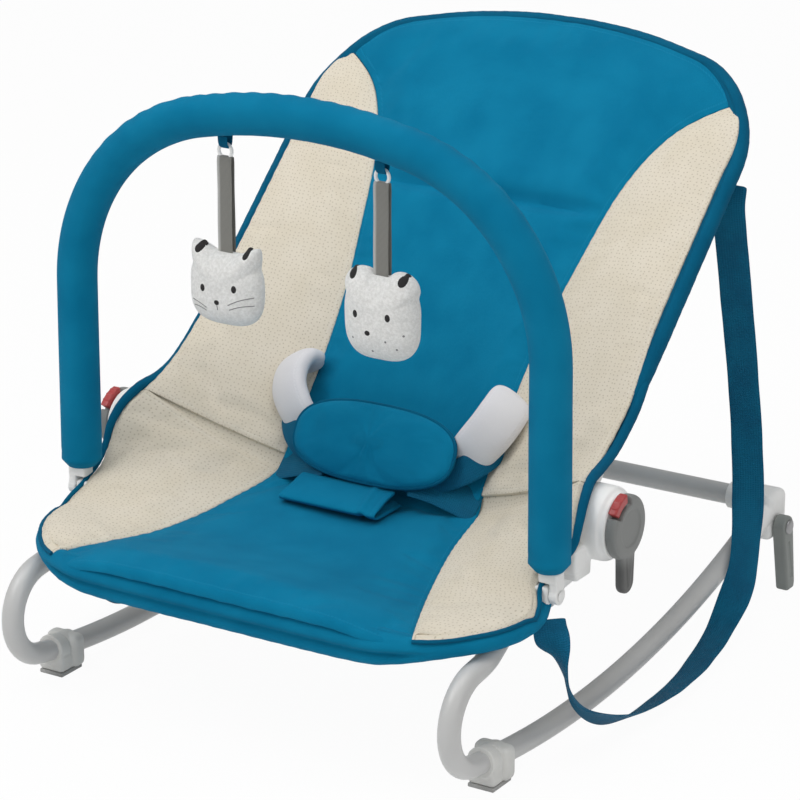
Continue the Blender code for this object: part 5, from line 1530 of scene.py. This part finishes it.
def addToy(name):
    toy = toys[name]
    x, body = toy["x"], name + "_toy"
    bm = pillow(headOutline(*toy["half"], *toy["ears"]), toys["thick"], 14)
    bmesh.ops.translate(bm, vec=(x, toyBarY, toys["headZ"]), verts=bm.verts)
    for vert in bm.verts:
        vert.co += yWay * (0.0008 * rough(vert.co, 60.0)) * (1 if vert.co.y > toyBarY else -1)
    head = addMesh(name + "_head_plush", bm, looks["plush"], 80)
    soften(head)
    carry(head, body, "plush", name + "_head")
    surface = evaluated(head)
    tree = BVHTree.FromPolygons([v.co for v in surface.vertices], [p.vertices for p in surface.polygons])
    face = newMesh()[0]
    tipR, middleZ = toy["tipR"], toys["headZ"]
    marks = ((toy["tips"], tipR, tipR * 1.15, 0.0008), (toy["eyes"], 0.0025, 0.0034, 0.0006),
             ((toy["nose"],), 0.0027, 0.0023, 0.0006))
    for places, rx, rz, lift in marks:
        for ex, ez in places:
            patch(face, tree, x + ex, middleZ + ez, rx, rz, lift)
    extra = newMesh()[0]
    for ends in toy["lines"]:
        thread(extra, tree, [(x + ex, middleZ + ez) for ex, ez in ends])
    for ex, ez in toy["dots"]:
        patch(extra, tree, x + ex, middleZ + ez, 0.0011, 0.0011, 0.0004, 2, 10)
    carry(addMesh(name + "_face", face, looks["thread"], 60), body, "plush")
    carry(addMesh(name + "_" + toy["extra"], extra, looks["greyThread"], 60), body, "plush")

    ringR, top = toys["ringR"], toys["hingeZ"]
    centre = Vector((x, toyBarY, top - ringR))
    loop = [centre + Vector((ringR * math.sin(a), 0, ringR * math.cos(a)))
            for a in (2 * math.pi * k / 60 for k in range(62))]
    bm = sweep(loop, yWay, 0.0014, 14)
    carry(addMesh(name + "_loop", bm, looks["whitePlastic"], 60), body, "white_plastic", name + "_ring")

    low, high = toy["top"] - 0.003, top - 2 * ringR - 0.0006
    rise = [(0.0022, low), (0.0024, lerp(low, high, 0.3)), (0.0019, lerp(low, high, 0.7)),
            (0.0021, high - 0.001)]
    path = [(-y, z) for y, z in rise] + [(0.0, high + 0.0024)] + rise[::-1]
    line = smoothRoute([(x, toyBarY + y, z) for y, z in path], 8)
    bm = ribbonStrip(line, [xWay] * len(line), 0.0068, 0.0008, 8)
    carry(addMesh(name + "_ribbon_loop", bm, looks["ribbon"], 60), body, "ribbon", name + "_ribbon")

    line = smoothRoute([(x, toyBarY + y, z) for y, z in toys["hanger"]], 6)
    bm = ribbonStrip(line, [xWay] * len(line), 0.0045, 0.0008, 6)
    carry(addMesh(name + "_hanger", bm, looks["trim"], 60), "toy_bar", "ribbon", name + "_tab")


addToyBar()
addToyBarClips()
addToy("cat")
addToy("bear")
print("toy bar and toys made")


# The pads are filled by a short cloth simulation, all in one run

simulation = {"frames": 18, "pinned": 0.0035}
clothFill = {"quality": 4, "mass": 0.25, "tension_stiffness": 10, "compression_stiffness": 10,
             "shear_stiffness": 4, "bending_stiffness": 0.6, "use_pressure": True,
             "vertex_group_mass": "sewn", "shrink_min": -0.01}


def fillPads():
    for obj, pressure, cap in settling:
        mesh = obj.data
        edge = [0.0] * (3 * len(mesh.vertices))
        mesh.attributes["cloth"].data.foreach_get("vector", edge)
        group = obj.vertex_groups.new(name="sewn")
        for i in range(len(mesh.vertices)):
            group.add([i], 1.0 - smooth((edge[3 * i + 2] - 0.001) / simulation["pinned"]), "REPLACE")
        cloth = obj.modifiers.new("fill", "CLOTH")
        for key, value in clothFill.items():
            setattr(cloth.settings, key, value)
        cloth.settings.uniform_pressure_force = pressure
        cloth.settings.effector_weights.gravity = 0.0
        cloth.collision_settings.use_collision = False
        cloth.point_cache.frame_end = simulation["frames"]
    for number in range(1, simulation["frames"] + 1):
        bpy.context.scene.frame_set(number)
    for obj, pressure, cap in settling:
        filled = evaluated(obj)
        for before, after in zip(obj.data.vertices, filled.vertices):
            step = after.co - before.co
            before.co += step * min(1.0, cap / max(1e-9, step.length))
        obj.modifiers.clear()
        obj.vertex_groups.clear()
        bpy.data.meshes.remove(filled)
    bpy.context.scene.frame_set(1)
    for obj, pressure, cap in settling:
        soften(obj)


fillPads()
bendBoth(backSide, "back_panel", "beige_fabric", "back_pad")
bendBoth(seatSide, "seat_panel", "beige_fabric", "seat_pad")
bend(backMiddle, "blue_fabric", "back_pad_centre")
bend(seatMiddle, "blue_fabric", "seat_pad_centre")
print("pads filled")
